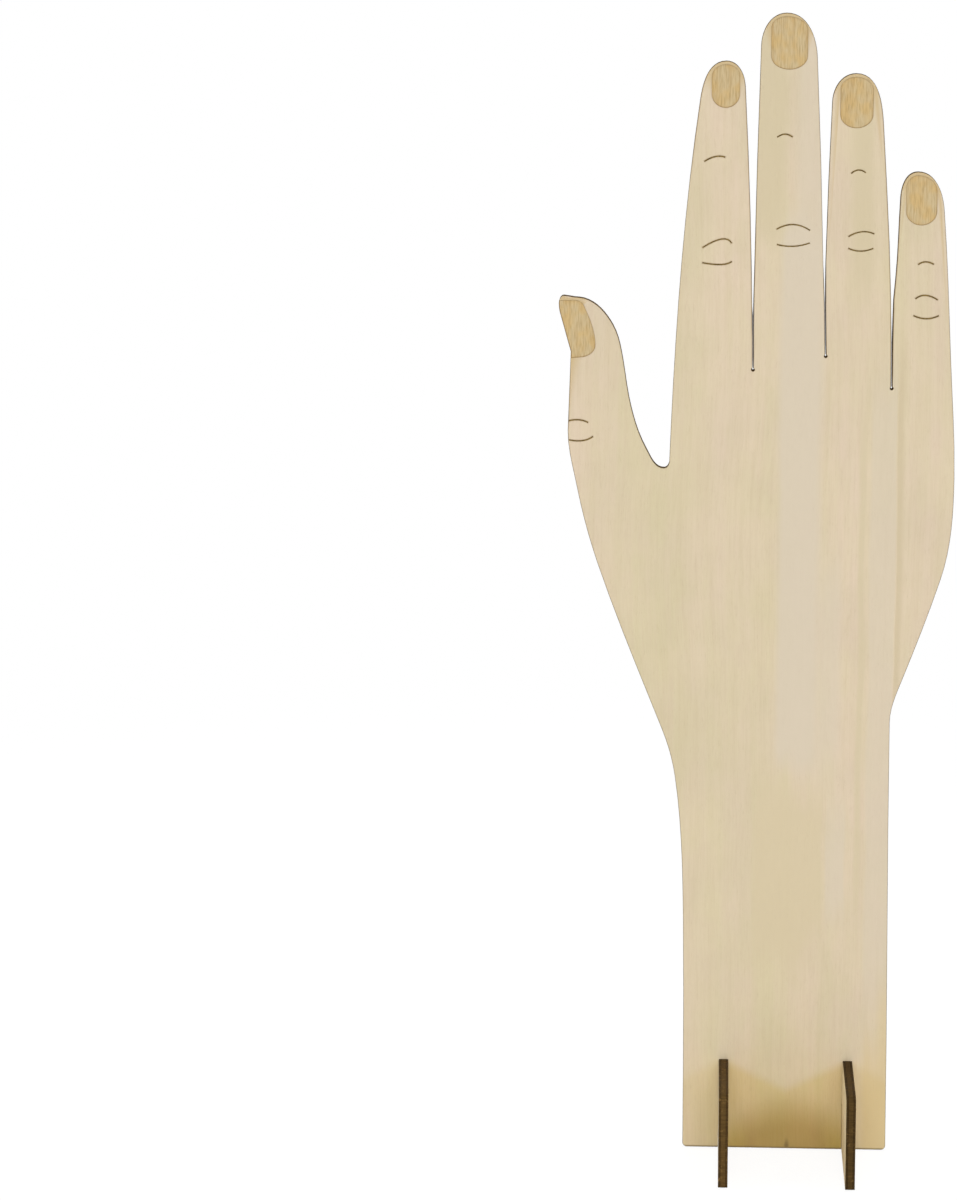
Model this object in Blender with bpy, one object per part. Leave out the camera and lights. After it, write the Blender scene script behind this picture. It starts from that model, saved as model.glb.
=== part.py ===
"""Wooden display hand: a flat plywood hand that stands on two slotted plywood feet.

All three pieces are laser cut from one kind of sheet. The hand panel stands upright in the XZ
plane, with its engraved face towards -Y and its thumb towards -X. The two feet run from front to
back and cross the panel in halving joints: the panel's slots open at the bottom, and the feet's
slots open at the top. The origin is on the ground, under the middle of the two feet.
"""

import math
from collections import namedtuple

import bmesh
import bpy
from mathutils import Matrix, Vector
from mathutils.geometry import interpolate_bezier

MM = 0.001


def mm(*values):
    """Turns millimetres into metres."""
    return tuple(value * MM for value in values)


# Sheet and laser cuts
SHEET = 2.8 * MM                # thickness of the plywood
KERF = 0.35 * MM                # width of a single cut
RELIEF_DIAMETER = 0.9 * MM      # round blind end of a cut between two fingers
ROUND_SIDES = 12                # sides of a small round hole
STEP_ANGLE = math.radians(7.5)  # most that a curve turns in one of its straight steps
STEP_ERROR = 0.02 * MM          # most that such a step lies off its curve
SHORTEST_STEP = 0.25 * MM
FLAT_ANGLE = math.radians(0.05)     # faces that bend less than this are joined
SHARP_ANGLE = math.radians(35.0)    # edges that bend more than this are shaded sharp

# Feet and their halving joints
FOOT_HEIGHT = 27.5 * MM
FOOT_REACH = 39.4 * MM          # from a face of the panel to the foot's end
FOOT_SPACING = 37.0 * MM        # middle of one foot to middle of the other
FOOT_TOP_RADIUS = 3.5 * MM
FOOT_BOTTOM_RADIUS = 0.6 * MM
PANEL_SLOT_HEIGHT = 13.9 * MM   # from the ground to the roof of the panel's slots
SEAT_GAP = 0.3 * MM             # from that roof down to the floor of a foot's slot
SIDE_CLEARANCE = 0.2 * MM       # on each side of a sheet that stands in a slot

# Arm and palm. The thumb's side is towards -X, the little finger's side towards +X.
ARM_THUMB_SIDE = 30.6 * MM      # from the middle out to the arm's edge
ARM_LITTLE_SIDE = 30.2 * MM
ARM_CORNER_RADIUS = 1.3 * MM
WRIST_HEIGHT = 128.0 * MM       # from the ground
WRIST_THUMB_SIDE = 37.65 * MM   # from the middle out to the wrist
WRIST_LITTLE_SIDE = 29.3 * MM
PALM_LENGTH = 110.0 * MM        # from the wrist to the line of the finger roots
PALM_THUMB_SIDE = 57.1 * MM     # from the middle out to the ball of the thumb
PALM_LITTLE_SIDE = 46.85 * MM   # from the middle out to the palm's widest point
ROOTS = WRIST_HEIGHT + PALM_LENGTH

# Thumb, from the lowest point of the gap between it and the index finger
GAP_SIDE = 37.8 * MM            # from the middle out to that point
GAP_DROP = 31.7 * MM            # from the finger roots down to it
THUMB_LENGTH = 50.45 * MM       # up to the tip of the thumb's nail
THUMB_SPREAD = 29.4 * MM        # out to the same tip
THUMB_JOINT_RISE = 10.8 * MM    # to where the thumb is widest
THUMB_JOINT_SPREAD = 28.15 * MM
NAIL_ROOT_RISE = 34.0 * MM      # to where the thumb's side steps out to its nail
NAIL_ROOT_SPREAD = 27.35 * MM

# Fingers. A cut parts each from the next, and a breadth runs from cut to cut.
INDEX_CUT_SIDE = 12.1 * MM      # from the middle out to the cut beside the index finger
MIDDLE_BREADTH = 21.05 * MM
RING_BREADTH = 19.25 * MM
INDEX_LENGTH = 86.6 * MM        # from the finger roots up to the tip
MIDDLE_LENGTH = 100.3 * MM
RING_LENGTH = 83.1 * MM
LITTLE_LENGTH = 55.0 * MM

# The lines that part the fingers, from the gap beside the thumb to the little finger's side
PARTINGS = (
    -GAP_SIDE,
    -INDEX_CUT_SIDE,
    -INDEX_CUT_SIDE + MIDDLE_BREADTH,
    -INDEX_CUT_SIDE + MIDDLE_BREADTH + RING_BREADTH,
    PALM_LITTLE_SIDE,
)

# Engraving, on the front face only
NAIL_DEPTH = 0.25 * MM
NAIL_RIM = 1.0 * MM             # bare rim left between a nail and its fingertip
NAIL_ROUND = 4.0 * MM           # height of the rounded foot of a nail
LINE_WIDTH = 0.42 * MM          # burnt lines of the knuckles
LINE_DEPTH = 0.18 * MM
LINE_STEPS = 8                  # straight steps along one line

# A nail's sides, left and right of its finger's highest point, where they start to round over
# below that point, and its length down from there
Nail = namedtuple("Nail", "left right left_down right_down length")

# A finger's highest point, from the middle and up from the finger roots, and the two shoulders
# where its rounded tip meets its sides, out from that point and down from it. A side's lean
# there is in degrees from upright.
Finger = namedtuple(
    "Finger", "x top left_out left_down left_lean right_out right_down right_lean nail"
)


def between(i, aside):
    """A place beside the middle of the finger that lies between two partings."""
    return (PARTINGS[i] + PARTINGS[i + 1]) / 2.0 + aside


FINGERS = {
    "index": Finger(between(0, 4.25 * MM), INDEX_LENGTH, 7.4 * MM, 10.6 * MM, 8.0,
                    5.6 * MM, 7.5 * MM, 3.5, Nail(*mm(4.15, 3.95, 4.4, 4.2, 13.4))),
    "middle": Finger(between(1, -1.925 * MM), MIDDLE_LENGTH, 7.3 * MM, 9.3 * MM, 1.5,
                     8.9 * MM, 12.5 * MM, 3.0, Nail(*mm(4.45, 6.1, 4.2, 5.0, 16.1))),
    "ring": Finger(between(2, -1.975 * MM), RING_LENGTH, 6.8 * MM, 8.1 * MM, 2.0,
                   8.1 * MM, 15.1 * MM, 4.0, Nail(*mm(4.5, 5.0, 4.6, 4.9, 15.6))),
    "little": Finger(between(3, -2.725 * MM), LITTLE_LENGTH, 5.0 * MM, 7.6 * MM, 3.0,
                     7.7 * MM, 11.0 * MM, 5.0, Nail(*mm(3.35, 5.55, 4.4, 5.6, 15.35))),
}

# A cut between two fingers: its blind end, from the middle and up from the finger roots, and its
# mouth, where it starts to open out, aside from the blind end and up from the roots. The leans
# are those of the two sides at the mouth.
Web = namedtuple("Web", "x z aside mouth_z left_lean right_lean")
WEBS = (
    Web(PARTINGS[1], -2.6 * MM, -0.3 * MM, 25.0 * MM, 2.5, 1.2),
    Web(PARTINGS[2], 1.5 * MM, -0.75 * MM, 29.0 * MM, 2.4, 1.6),
    Web(PARTINGS[3], -7.8 * MM, -0.25 * MM, 18.0 * MM, 3.0, 8.0),
)

# Knuckle lines, each from its left end over its highest or lowest point to its right end,
# measured from the highest point of the finger
KNUCKLES = {
    "index": (
        (mm(-6.1, -28.8), mm(-2.9, -27.4), mm(-0.1, -27.6)),
        (mm(-6.4, -53.7), mm(-0.9, -51.2), mm(2.0, -52.4)),
        (mm(-6.4, -58.1), mm(-1.0, -58.6), mm(2.1, -57.7)),
    ),
    "middle": (
        (mm(-2.4, -35.5), mm(-0.2, -34.6), mm(2.0, -35.4)),
        (mm(-2.3, -62.0), mm(2.6, -60.6), mm(7.4, -62.3)),
        (mm(-2.1, -66.4), mm(2.7, -66.9), mm(7.4, -65.9)),
    ),
    "ring": (
        (mm(-1.1, -28.6), mm(1.0, -27.6), mm(3.1, -28.4)),
        (mm(-1.6, -46.8), mm(2.2, -45.4), mm(5.8, -46.0)),
        (mm(-1.6, -50.2), mm(1.9, -51.0), mm(5.6, -50.2)),
    ),
    "little": (
        (mm(0.4, -26.7), mm(2.5, -25.9), mm(4.9, -26.6)),
        (mm(-0.2, -36.6), mm(2.7, -35.6), mm(6.2, -36.9)),
        (mm(-0.7, -41.5), mm(3.0, -42.4), mm(6.6, -41.5)),
    ),
}
# The thumb's two lines run in from its edge, and are measured from the tip of its nail
THUMB_KNUCKLES = (
    (mm(0.3, -37.1), mm(4.0, -36.4), mm(7.2, -37.2)),
    (mm(0.3, -42.1), mm(5.2, -42.6), mm(8.6, -41.3)),
)

# One point of an outline and the way that the outline runs through it, in degrees from the
# outline's first axis. A sharp corner has no way of its own.
Turn = namedtuple("Turn", "x z way")


def collection(name):
    """A new collection in the scene."""
    made = bpy.data.collections.new(name)
    bpy.context.scene.collection.children.link(made)
    return made


def move_to(obj, place):
    """Keeps an object in one collection only."""
    for old in list(obj.users_collection):
        old.objects.unlink(obj)
    place.objects.link(obj)
    return obj


def handle(here, other, onward):
    """The curve handle at one turn, for the stretch between it and the turn before or after it.

    A stretch that ends in a sharp corner is straight. Any other is an arc where the two ways
    allow one, and otherwise as round as they allow.
    """
    chord = Vector((other.x - here.x, other.z - here.z, 0.0))
    if here.way is None or other.way is None:
        return chord / 3.0
    bend = math.radians(abs((other.way - here.way + 180.0) % 360.0 - 180.0))
    length = chord.length / 3.0
    if bend > 0.01:
        length *= 2.0 * math.tan(bend / 4.0) / math.sin(bend / 2.0)
    angle = math.radians(here.way)
    along = Vector((math.cos(angle), math.sin(angle), 0.0))
    return along * (length if onward else -length)


def stretch(here, there):
    """Points along the Bezier curve from one turn to the next, closer together where it bends."""
    start = Vector((here.x, here.z, 0.0))
    end = Vector((there.x, there.z, 0.0))
    out = handle(here, there, True)
    back = handle(there, here, False)
    chord = end - start
    bend = out.angle(chord) + back.angle(-chord)
    steps = max(bend / STEP_ANGLE, math.sqrt(chord.length * bend / (8.0 * STEP_ERROR)))
    steps = max(1, math.ceil(min(steps, chord.length / SHORTEST_STEP)))
    return interpolate_bezier(start, start + out, end + back, end, steps + 1)[:-1]


def add_outline(curve, turns):
    """Adds a closed outline through the turns to a curve."""
    points = []
    for i, turn in enumerate(turns):
        points += stretch(turn, turns[(i + 1) % len(turns)])
    spline = curve.splines.new("POLY")
    spline.points.add(len(points) - 1)
    spline.use_cyclic_u = True
    for made, point in zip(spline.points, points):
        made.co = (*(point / MM), 1.0)


def sheet_curve(name, outlines, thickness):
    """Flat shapes of one thickness, as a filled 2D curve.

    Blender fills a curve badly where its points lie under a millimetre apart, so the curve is
    drawn in millimetres and its object is scaled down.
    """
    curve = bpy.data.curves.new(name, "CURVE")
    curve.dimensions = "2D"
    curve.fill_mode = "BOTH"
    curve.extrude = thickness / 2.0 / MM
    for turns in outlines:
        add_outline(curve, turns)
    obj = bpy.data.objects.new(name, curve)
    obj.scale = (MM, MM, MM)
    return obj


def as_mesh(curve_obj, place):
    """Makes a closed mesh object of a curve object, at scale 1 and with its caps welded on."""
    bpy.context.scene.collection.objects.link(curve_obj)
    bpy.context.view_layer.update()
    evaluated = curve_obj.evaluated_get(bpy.context.evaluated_depsgraph_get())
    mesh = bpy.data.meshes.new_from_object(evaluated)
    name = curve_obj.name
    location, rotation, scale = curve_obj.matrix_world.decompose()
    bpy.data.objects.remove(curve_obj)
    mesh.name = name
    mesh.transform(Matrix.Diagonal((*scale, 1.0)))
    welded = bmesh.new()
    welded.from_mesh(mesh)
    bmesh.ops.remove_doubles(welded, verts=welded.verts, dist=0.001 * MM)
    bmesh.ops.dissolve_limit(
        welded, angle_limit=FLAT_ANGLE, verts=welded.verts, edges=welded.edges
    )
    bmesh.ops.recalc_face_normals(welded, faces=welded.faces)
    welded.to_mesh(mesh)
    welded.free()
    mesh.shade_smooth()
    mesh.set_sharp_from_angle(angle=SHARP_ANGLE)
    obj = bpy.data.objects.new(name, mesh)
    obj.matrix_world = Matrix.LocRotScale(location, rotation, None)
    place.objects.link(obj)
    return obj


def as_cutter(obj):
    """Keeps a cutter out of the picture."""
    obj.hide_render = True
    obj.display_type = "WIRE"
    return obj


def box_cutter(name, low, high, place):
    """A box between two corners."""
    bpy.ops.mesh.primitive_cube_add(size=1.0)
    box = move_to(bpy.context.object, place)
    box.name = name
    low = Vector(low)
    high = Vector(high)
    for vertex in box.data.vertices:
        vertex.co = vertex.co * (high - low)
    box.location = (low + high) / 2.0
    return as_cutter(box)


def hole_cutter(name, x, z, diameter, place):
    """A round pin that runs through the panel from front to back."""
    bpy.ops.mesh.primitive_cylinder_add(
        vertices=ROUND_SIDES, radius=diameter / 2.0, depth=2.0 * SHEET,
        location=(x, 0.0, z), rotation=(math.radians(90.0), 0.0, 0.0),
    )
    pin = move_to(bpy.context.object, place)
    pin.name = name
    return as_cutter(pin)


def cut(obj, cutter):
    """Subtracts a cutter from an object."""
    boolean = obj.modifiers.new(cutter.name, "BOOLEAN")
    boolean.operation = "DIFFERENCE"
    boolean.solver = "EXACT"
    boolean.object = cutter


def plywood(name, colour):
    """Bare plywood of one colour."""
    material = bpy.data.materials.new(name)
    material.use_nodes = True
    shader = material.node_tree.nodes["Principled BSDF"]
    shader.inputs["Base Color"].default_value = (*colour, 1.0)
    shader.inputs["Roughness"].default_value = 0.62
    shader.inputs["Metallic"].default_value = 0.0
    return material


def thumb_tip():
    """Where the tip of the thumb's nail is."""
    return -GAP_SIDE - THUMB_SPREAD, ROOTS - GAP_DROP + THUMB_LENGTH


def thumb_outline():
    """Up the outer side of the thumb, round its nail and down into the gap by the index finger."""
    gap_x = -GAP_SIDE
    gap_z = ROOTS - GAP_DROP
    tip_x, tip_z = thumb_tip()
    return [
        Turn(gap_x - THUMB_JOINT_SPREAD, gap_z + THUMB_JOINT_RISE, 90.0),
        Turn(gap_x - NAIL_ROOT_SPREAD, gap_z + NAIL_ROOT_RISE, None),
        Turn(tip_x - 1.2 * MM, tip_z - 4.9 * MM, 104.0),
        Turn(tip_x - 1.5 * MM, tip_z - 2.4 * MM, 90.0),
        Turn(tip_x, tip_z, 0.0),
        Turn(tip_x + 3.0 * MM, tip_z - 0.45 * MM, -5.0),
        Turn(tip_x + 5.9 * MM, tip_z - 0.8 * MM, -16.0),
        Turn(tip_x + 14.3 * MM, tip_z - 8.5 * MM, -60.0),
        Turn(tip_x + 17.3 * MM, tip_z - 18.7 * MM, -79.5),
        Turn(tip_x + 19.1 * MM, tip_z - 29.7 * MM, -78.0),
        Turn(gap_x - 5.2 * MM, gap_z + 5.7 * MM, -61.0),
        Turn(gap_x, gap_z, 0.0),
        Turn(gap_x + 1.6 * MM, gap_z + 2.2 * MM, 88.0),
    ]


def finger_outline(finger):
    """From a finger's left shoulder over its tip to its right shoulder."""
    top = ROOTS + finger.top
    return [
        Turn(finger.x - finger.left_out, top - finger.left_down, 90.0 - finger.left_lean),
        Turn(finger.x, top, 0.0),
        Turn(finger.x + finger.right_out, top - finger.right_down, -90.0 + finger.right_lean),
    ]


def web_outline(web):
    """Down one side of the cut between two fingers and up its other side."""
    half = KERF / 2.0
    mouth_x = web.x + web.aside
    return [
        Turn(mouth_x - half, ROOTS + web.mouth_z, -90.0 + web.left_lean),
        Turn(web.x - half, ROOTS + web.z, None),
        Turn(web.x + half, ROOTS + web.z, None),
        Turn(mouth_x + half, ROOTS + web.mouth_z, 90.0 - web.right_lean),
    ]


def hand_outline():
    """Up the thumb's side of the arm, over the fingers and down the other side."""
    corner = ARM_CORNER_RADIUS
    turns = [
        Turn(-ARM_THUMB_SIDE + corner, 0.0, 180.0),
        Turn(-ARM_THUMB_SIDE, corner, 90.0),
        Turn(-ARM_THUMB_SIDE - 0.4 * MM, WRIST_HEIGHT - 58.0 * MM, 91.0),
        Turn(-ARM_THUMB_SIDE - 3.2 * MM, WRIST_HEIGHT - 14.0 * MM, 98.5),
        Turn(-WRIST_THUMB_SIDE, WRIST_HEIGHT, 112.0),
        Turn(-PALM_THUMB_SIDE, ROOTS - 60.0 * MM, 109.0),
        Turn(-PALM_THUMB_SIDE - 6.1 * MM, ROOTS - 37.5 * MM, 101.5),
    ]
    turns += thumb_outline()
    for i, finger in enumerate(FINGERS.values()):
        turns += finger_outline(finger)
        if i < len(WEBS):
            turns += web_outline(WEBS[i])
    turns += [
        Turn(PALM_LITTLE_SIDE - 1.75 * MM, ROOTS + 2.0 * MM, -87.0),
        Turn(PALM_LITTLE_SIDE, ROOTS - 34.0 * MM, -90.0),
        Turn(PALM_LITTLE_SIDE - 3.4 * MM, ROOTS - 64.0 * MM, -107.5),
        Turn(WRIST_LITTLE_SIDE + 3.2 * MM, WRIST_HEIGHT + 15.2 * MM, -111.0),
        Turn(WRIST_LITTLE_SIDE, WRIST_HEIGHT + 3.0 * MM, -90.0),
        Turn(ARM_LITTLE_SIDE, corner, -90.0),
        Turn(ARM_LITTLE_SIDE - corner, 0.0, 180.0),
    ]
    return turns


def nail_outline(finger):
    """A nail: upright sides, a rounded foot, and a rounded top that follows the fingertip."""
    top = ROOTS + finger.top
    foot = top - finger.nail.length
    left = finger.x - finger.nail.left
    right = finger.x + finger.nail.right
    return [
        Turn(left, top - finger.nail.left_down, -90.0),
        Turn(left, foot + NAIL_ROUND, -90.0),
        Turn((left + right) / 2.0, foot, 0.0),
        Turn(right, foot + NAIL_ROUND, 90.0),
        Turn(right, top - finger.nail.right_down, 90.0),
        Turn(finger.x, top - NAIL_RIM, 180.0),
    ]


def thumb_nail_outline():
    """The thumb's nail, seen half from the side: it runs off the thumb's outer edge."""
    x, z = thumb_tip()
    top = z - 1.4 * NAIL_RIM
    return [
        Turn(x - SHEET, top, None),
        Turn(x + 3.4 * MM, top, 0.0),
        Turn(x + 5.9 * MM, top - 1.7 * MM, -66.0),
        Turn(x + 8.3 * MM, z - 9.0 * MM, -74.0),
        Turn(x + 9.2 * MM, z - 14.4 * MM, -90.0),
        Turn(x + 5.4 * MM, z - 18.0 * MM, -172.0),
        Turn(x - SHEET, z - 18.6 * MM, None),
    ]


def line_points(left, middle, right):
    """Even steps along the bow through three points."""
    pull = [2.0 * m - (a + b) / 2.0 for a, m, b in zip(left, middle, right)]
    points = []
    for i in range(LINE_STEPS + 1):
        t = i / LINE_STEPS
        points.append([
            (1.0 - t) ** 2 * a + 2.0 * t * (1.0 - t) * p + t ** 2 * b
            for a, p, b in zip(left, pull, right)
        ])
    return points


def knuckle_line_cutter(place):
    """All burnt lines as fine round tubes that dip into the front face."""
    curve = bpy.data.curves.new("knuckle_lines", "CURVE")
    curve.dimensions = "3D"
    curve.bevel_depth = LINE_WIDTH / 2.0
    curve.bevel_resolution = 2
    curve.use_fill_caps = True
    lines = [(thumb_tip(), line) for line in THUMB_KNUCKLES]
    for name, finger in FINGERS.items():
        lines += [((finger.x, ROOTS + finger.top), line) for line in KNUCKLES[name]]
    depth = -SHEET / 2.0 - LINE_WIDTH / 2.0 + LINE_DEPTH
    for (x, z), line in lines:
        points = line_points(*line)
        spline = curve.splines.new("POLY")
        spline.points.add(len(points) - 1)
        for point, (across, up) in zip(spline.points, points):
            point.co = (x + across, depth, z + up, 1.0)
    return as_cutter(as_mesh(bpy.data.objects.new("knuckle_lines", curve), place))


def nail_cutter(place):
    """The five nails, as thin plates that dip into the front face."""
    outlines = [thumb_nail_outline()]
    outlines += [nail_outline(finger) for finger in FINGERS.values()]
    nails = sheet_curve("nails", outlines, 2.0 * NAIL_DEPTH)
    nails.location = (0.0, -SHEET / 2.0, 0.0)
    nails.rotation_euler = (math.radians(90.0), 0.0, 0.0)
    return as_cutter(as_mesh(nails, place))


def make_panel(parts, cutters):
    """The hand itself: the outline, the slots for the feet and the engraving."""
    outline = sheet_curve("hand_panel", [hand_outline()], SHEET)
    outline.rotation_euler = (math.radians(90.0), 0.0, 0.0)
    panel = as_mesh(outline, parts)
    half_slot = SHEET / 2.0 + SIDE_CLEARANCE
    for name, x in foot_places():
        cut(panel, box_cutter(
            name + "_slot",
            (x - half_slot, -SHEET, -SHEET),
            (x + half_slot, SHEET, PANEL_SLOT_HEIGHT),
            cutters,
        ))
    for i, web in enumerate(WEBS):
        cut(panel, hole_cutter(f"relief_{i + 1}", web.x, ROOTS + web.z, RELIEF_DIAMETER, cutters))
    cut(panel, nail_cutter(cutters))
    cut(panel, knuckle_line_cutter(cutters))
    panel.data.materials.append(plywood("hand_plywood", (0.70, 0.59, 0.40)))
    return panel


def foot_places():
    """The two feet, by name, and where each crosses the panel."""
    return ("left_foot", -FOOT_SPACING / 2.0), ("right_foot", FOOT_SPACING / 2.0)


def make_foot(name, x, parts, cutters):
    """One foot: a low plate with rounded upper corners and a slot from the top."""
    end = SHEET / 2.0 + FOOT_REACH
    low = FOOT_BOTTOM_RADIUS
    high = FOOT_TOP_RADIUS
    outline = sheet_curve(name, [[
        Turn(-end + low, 0.0, 180.0),
        Turn(-end, low, 90.0),
        Turn(-end, FOOT_HEIGHT - high, 90.0),
        Turn(-end + high, FOOT_HEIGHT, 0.0),
        Turn(end - high, FOOT_HEIGHT, 0.0),
        Turn(end, FOOT_HEIGHT - high, -90.0),
        Turn(end, low, -90.0),
        Turn(end - low, 0.0, 180.0),
    ]], SHEET)
    outline.location = (x, 0.0, 0.0)
    outline.rotation_euler = (math.radians(90.0), 0.0, math.radians(90.0))
    foot = as_mesh(outline, parts)
    half_slot = SHEET / 2.0 + SIDE_CLEARANCE
    cut(foot, box_cutter(
        name + "_notch",
        (x - SHEET, -half_slot, PANEL_SLOT_HEIGHT - SEAT_GAP),
        (x + SHEET, half_slot, FOOT_HEIGHT + SHEET),
        cutters,
    ))
    foot.data.materials.append(plywood(name + "_plywood", (0.62, 0.49, 0.30)))
    return foot


def main():
    for old in list(bpy.data.objects):
        bpy.data.objects.remove(old)
    parts = collection("wooden_display_hand")
    cutters = collection("cutters")
    make_panel(parts, cutters)
    for name, x in foot_places():
        make_foot(name, x, parts, cutters)


main()
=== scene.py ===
# %% [markdown]
# # A plywood display hand
#
# The object is a flat hand, cut with a laser from thin plywood, for showing things in a shop. It
# stands on two small plywood feet that slide into slots in its lower edge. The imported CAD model
# has the exact shapes. This script gives them their looks: softened corners, the plies in the
# cut edges, burnt lines, pale veneer, and the light of a plain studio.
#
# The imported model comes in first. Its pieces are never moved, and each is used as the pattern
# for a finer copy that is shown in its place.

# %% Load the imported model
import math

import bmesh
import bpy
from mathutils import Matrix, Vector
from mathutils.bvhtree import BVHTree
from mathutils.kdtree import KDTree


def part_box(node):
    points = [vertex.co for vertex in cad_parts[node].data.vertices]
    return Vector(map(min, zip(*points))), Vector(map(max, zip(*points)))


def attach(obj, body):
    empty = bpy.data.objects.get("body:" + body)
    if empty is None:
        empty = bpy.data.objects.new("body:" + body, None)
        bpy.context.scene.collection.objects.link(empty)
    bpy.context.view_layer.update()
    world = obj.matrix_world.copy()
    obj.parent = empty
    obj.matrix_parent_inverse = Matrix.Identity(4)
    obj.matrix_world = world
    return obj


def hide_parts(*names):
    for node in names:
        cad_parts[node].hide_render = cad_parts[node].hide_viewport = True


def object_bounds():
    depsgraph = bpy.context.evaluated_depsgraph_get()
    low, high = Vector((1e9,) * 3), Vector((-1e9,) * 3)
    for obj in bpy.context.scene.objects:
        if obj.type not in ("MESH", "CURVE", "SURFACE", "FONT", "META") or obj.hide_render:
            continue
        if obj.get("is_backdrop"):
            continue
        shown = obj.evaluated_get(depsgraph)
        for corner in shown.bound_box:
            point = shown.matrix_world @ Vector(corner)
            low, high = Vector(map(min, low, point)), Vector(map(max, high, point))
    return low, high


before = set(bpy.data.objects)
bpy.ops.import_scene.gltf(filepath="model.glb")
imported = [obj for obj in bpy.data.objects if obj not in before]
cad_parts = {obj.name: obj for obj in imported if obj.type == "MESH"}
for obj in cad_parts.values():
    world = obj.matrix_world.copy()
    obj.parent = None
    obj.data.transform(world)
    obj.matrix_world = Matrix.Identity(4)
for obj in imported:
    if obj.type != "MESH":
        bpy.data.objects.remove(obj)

MM = 0.001

cad_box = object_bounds()
print("The packed model has", sorted(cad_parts))
print("and its box is", cad_box)

# %% [markdown]
# ## The camera
#
# A photograph's viewpoint can be found again from the object itself: the height and breadth of
# the hand and the places of both feet in the picture fit only one camera. It stands a little
# above the fingertips and to the thumb's side, 1.2 metres away, and looks slightly down. The
# hand fills the right half of the picture.

# %% The photograph's camera
CAMERA_PLACE = (-0.0227, -1.2073, 0.3822)
CAMERA_TILT = math.radians(79.876)
CAMERA_TURN = math.radians(3.294)
LENS_MM = 124.78
SENSOR_MM = 36.0
NEAREST_SEEN = 0.05


def make_camera():
    """Puts a camera where the photograph was taken from, and looks through it."""
    data = bpy.data.cameras.new("photo_camera")
    data.sensor_width = SENSOR_MM
    data.lens = LENS_MM
    data.clip_start = NEAREST_SEEN
    camera = bpy.data.objects.new("photo_camera", data)
    camera.location = CAMERA_PLACE
    camera.rotation_euler = (CAMERA_TILT, 0.0, CAMERA_TURN)
    bpy.context.scene.collection.objects.link(camera)
    bpy.context.scene.camera = camera


make_camera()
print("The camera stands at", CAMERA_PLACE, "with a lens of", LENS_MM, "mm")

# %% [markdown]
# ## Nodes in few words
#
# A material in Blender is a tree of nodes. Making each node by hand takes many lines, so small
# helpers do it: one adds a node and joins or fills its inputs, the others make the few kinds of
# node that come back all the time, and name them by what they do.

# %% Helpers for nodes
def srgb(red, green, blue):
    """A colour as a picture editor shows it, turned into the linear numbers Blender works with."""
    def linear(part):
        part = part / 255.0
        return part / 12.92 if part <= 0.04045 else ((part + 0.055) / 1.055) ** 2.4
    return (linear(red), linear(green), linear(blue), 1.0)


def fill_socket(tree, socket, value):
    """Joins a socket to another one, or fills it in with a plain value."""
    if isinstance(value, bpy.types.NodeSocket):
        tree.links.new(value, socket)
    else:
        socket.default_value = value


def add_node(tree, kind, inputs=None, **settings):
    """One new node with its settings, and its inputs joined or filled in."""
    node = tree.nodes.new(kind)
    for name, value in settings.items():
        setattr(node, name, value)
    for name, value in (inputs or {}).items():
        fill_socket(tree, node.inputs[name], value)
    return node


def calculate(tree, operation, first, second=0.0):
    """A Math node's result, such as the sum of two values."""
    node = add_node(tree, "ShaderNodeMath", {0: first, 1: second}, operation=operation)
    return node.outputs["Value"]


def multiply(tree, product, *others):
    """The product of two or more values."""
    for value in others:
        product = calculate(tree, "MULTIPLY", product, value)
    return product


def move_or_stretch(tree, operation, first, second=(0.0, 0.0, 0.0)):
    """A Vector Math node, for whole places and directions."""
    return add_node(tree, "ShaderNodeVectorMath", {0: first, 1: second}, operation=operation)


def split(tree, place):
    """The three numbers of a place, by the names X, Y and Z."""
    return add_node(tree, "ShaderNodeSeparateXYZ", {"Vector": place}).outputs


def fade(tree, value, low, high, to_low=0.0, to_high=1.0):
    """A soft step: to_low where the value is below low, to_high where it is above high."""
    node = add_node(tree, "ShaderNodeMapRange",
                    {"Value": value, "From Min": low, "From Max": high, "To Min": to_low,
                     "To Max": to_high}, interpolation_type="SMOOTHSTEP")
    return node.outputs["Result"]


def mix_colours(tree, share, first, second, blend="MIX"):
    """The first colour where the share is 0, the second where it is 1."""
    node = add_node(tree, "ShaderNodeMix", data_type="RGBA", blend_type=blend, clamp_factor=True)
    sockets = {socket.identifier: socket for socket in (*node.inputs, *node.outputs)}
    for name, value in (("Factor_Float", share), ("A_Color", first), ("B_Color", second)):
        fill_socket(tree, sockets[name], value)
    return sockets["Result_Color"]


def shade(tree, colour, light):
    """The colour made lighter or darker by a number."""
    grey = add_node(tree, "ShaderNodeCombineColor", {"Red": light, "Green": light, "Blue": light})
    return mix_colours(tree, 1.0, colour, grey.outputs["Color"], blend="MULTIPLY")


print("A middle grey of 128 is", round(srgb(128, 128, 128)[0], 3), "in Blender's linear numbers")

# %% [markdown]
# ## Node groups
#
# An effect that several materials need, such as grain, could be copied into each of them. A node
# group is better: it is built once, has named inputs and outputs, and each material gives it its
# own values. A later correction in the group then reaches every material.

# %% Helpers for node groups
SOCKET_KINDS = {"vector": "NodeSocketVector", "number": "NodeSocketFloat",
                "colour": "NodeSocketColor"}


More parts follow.
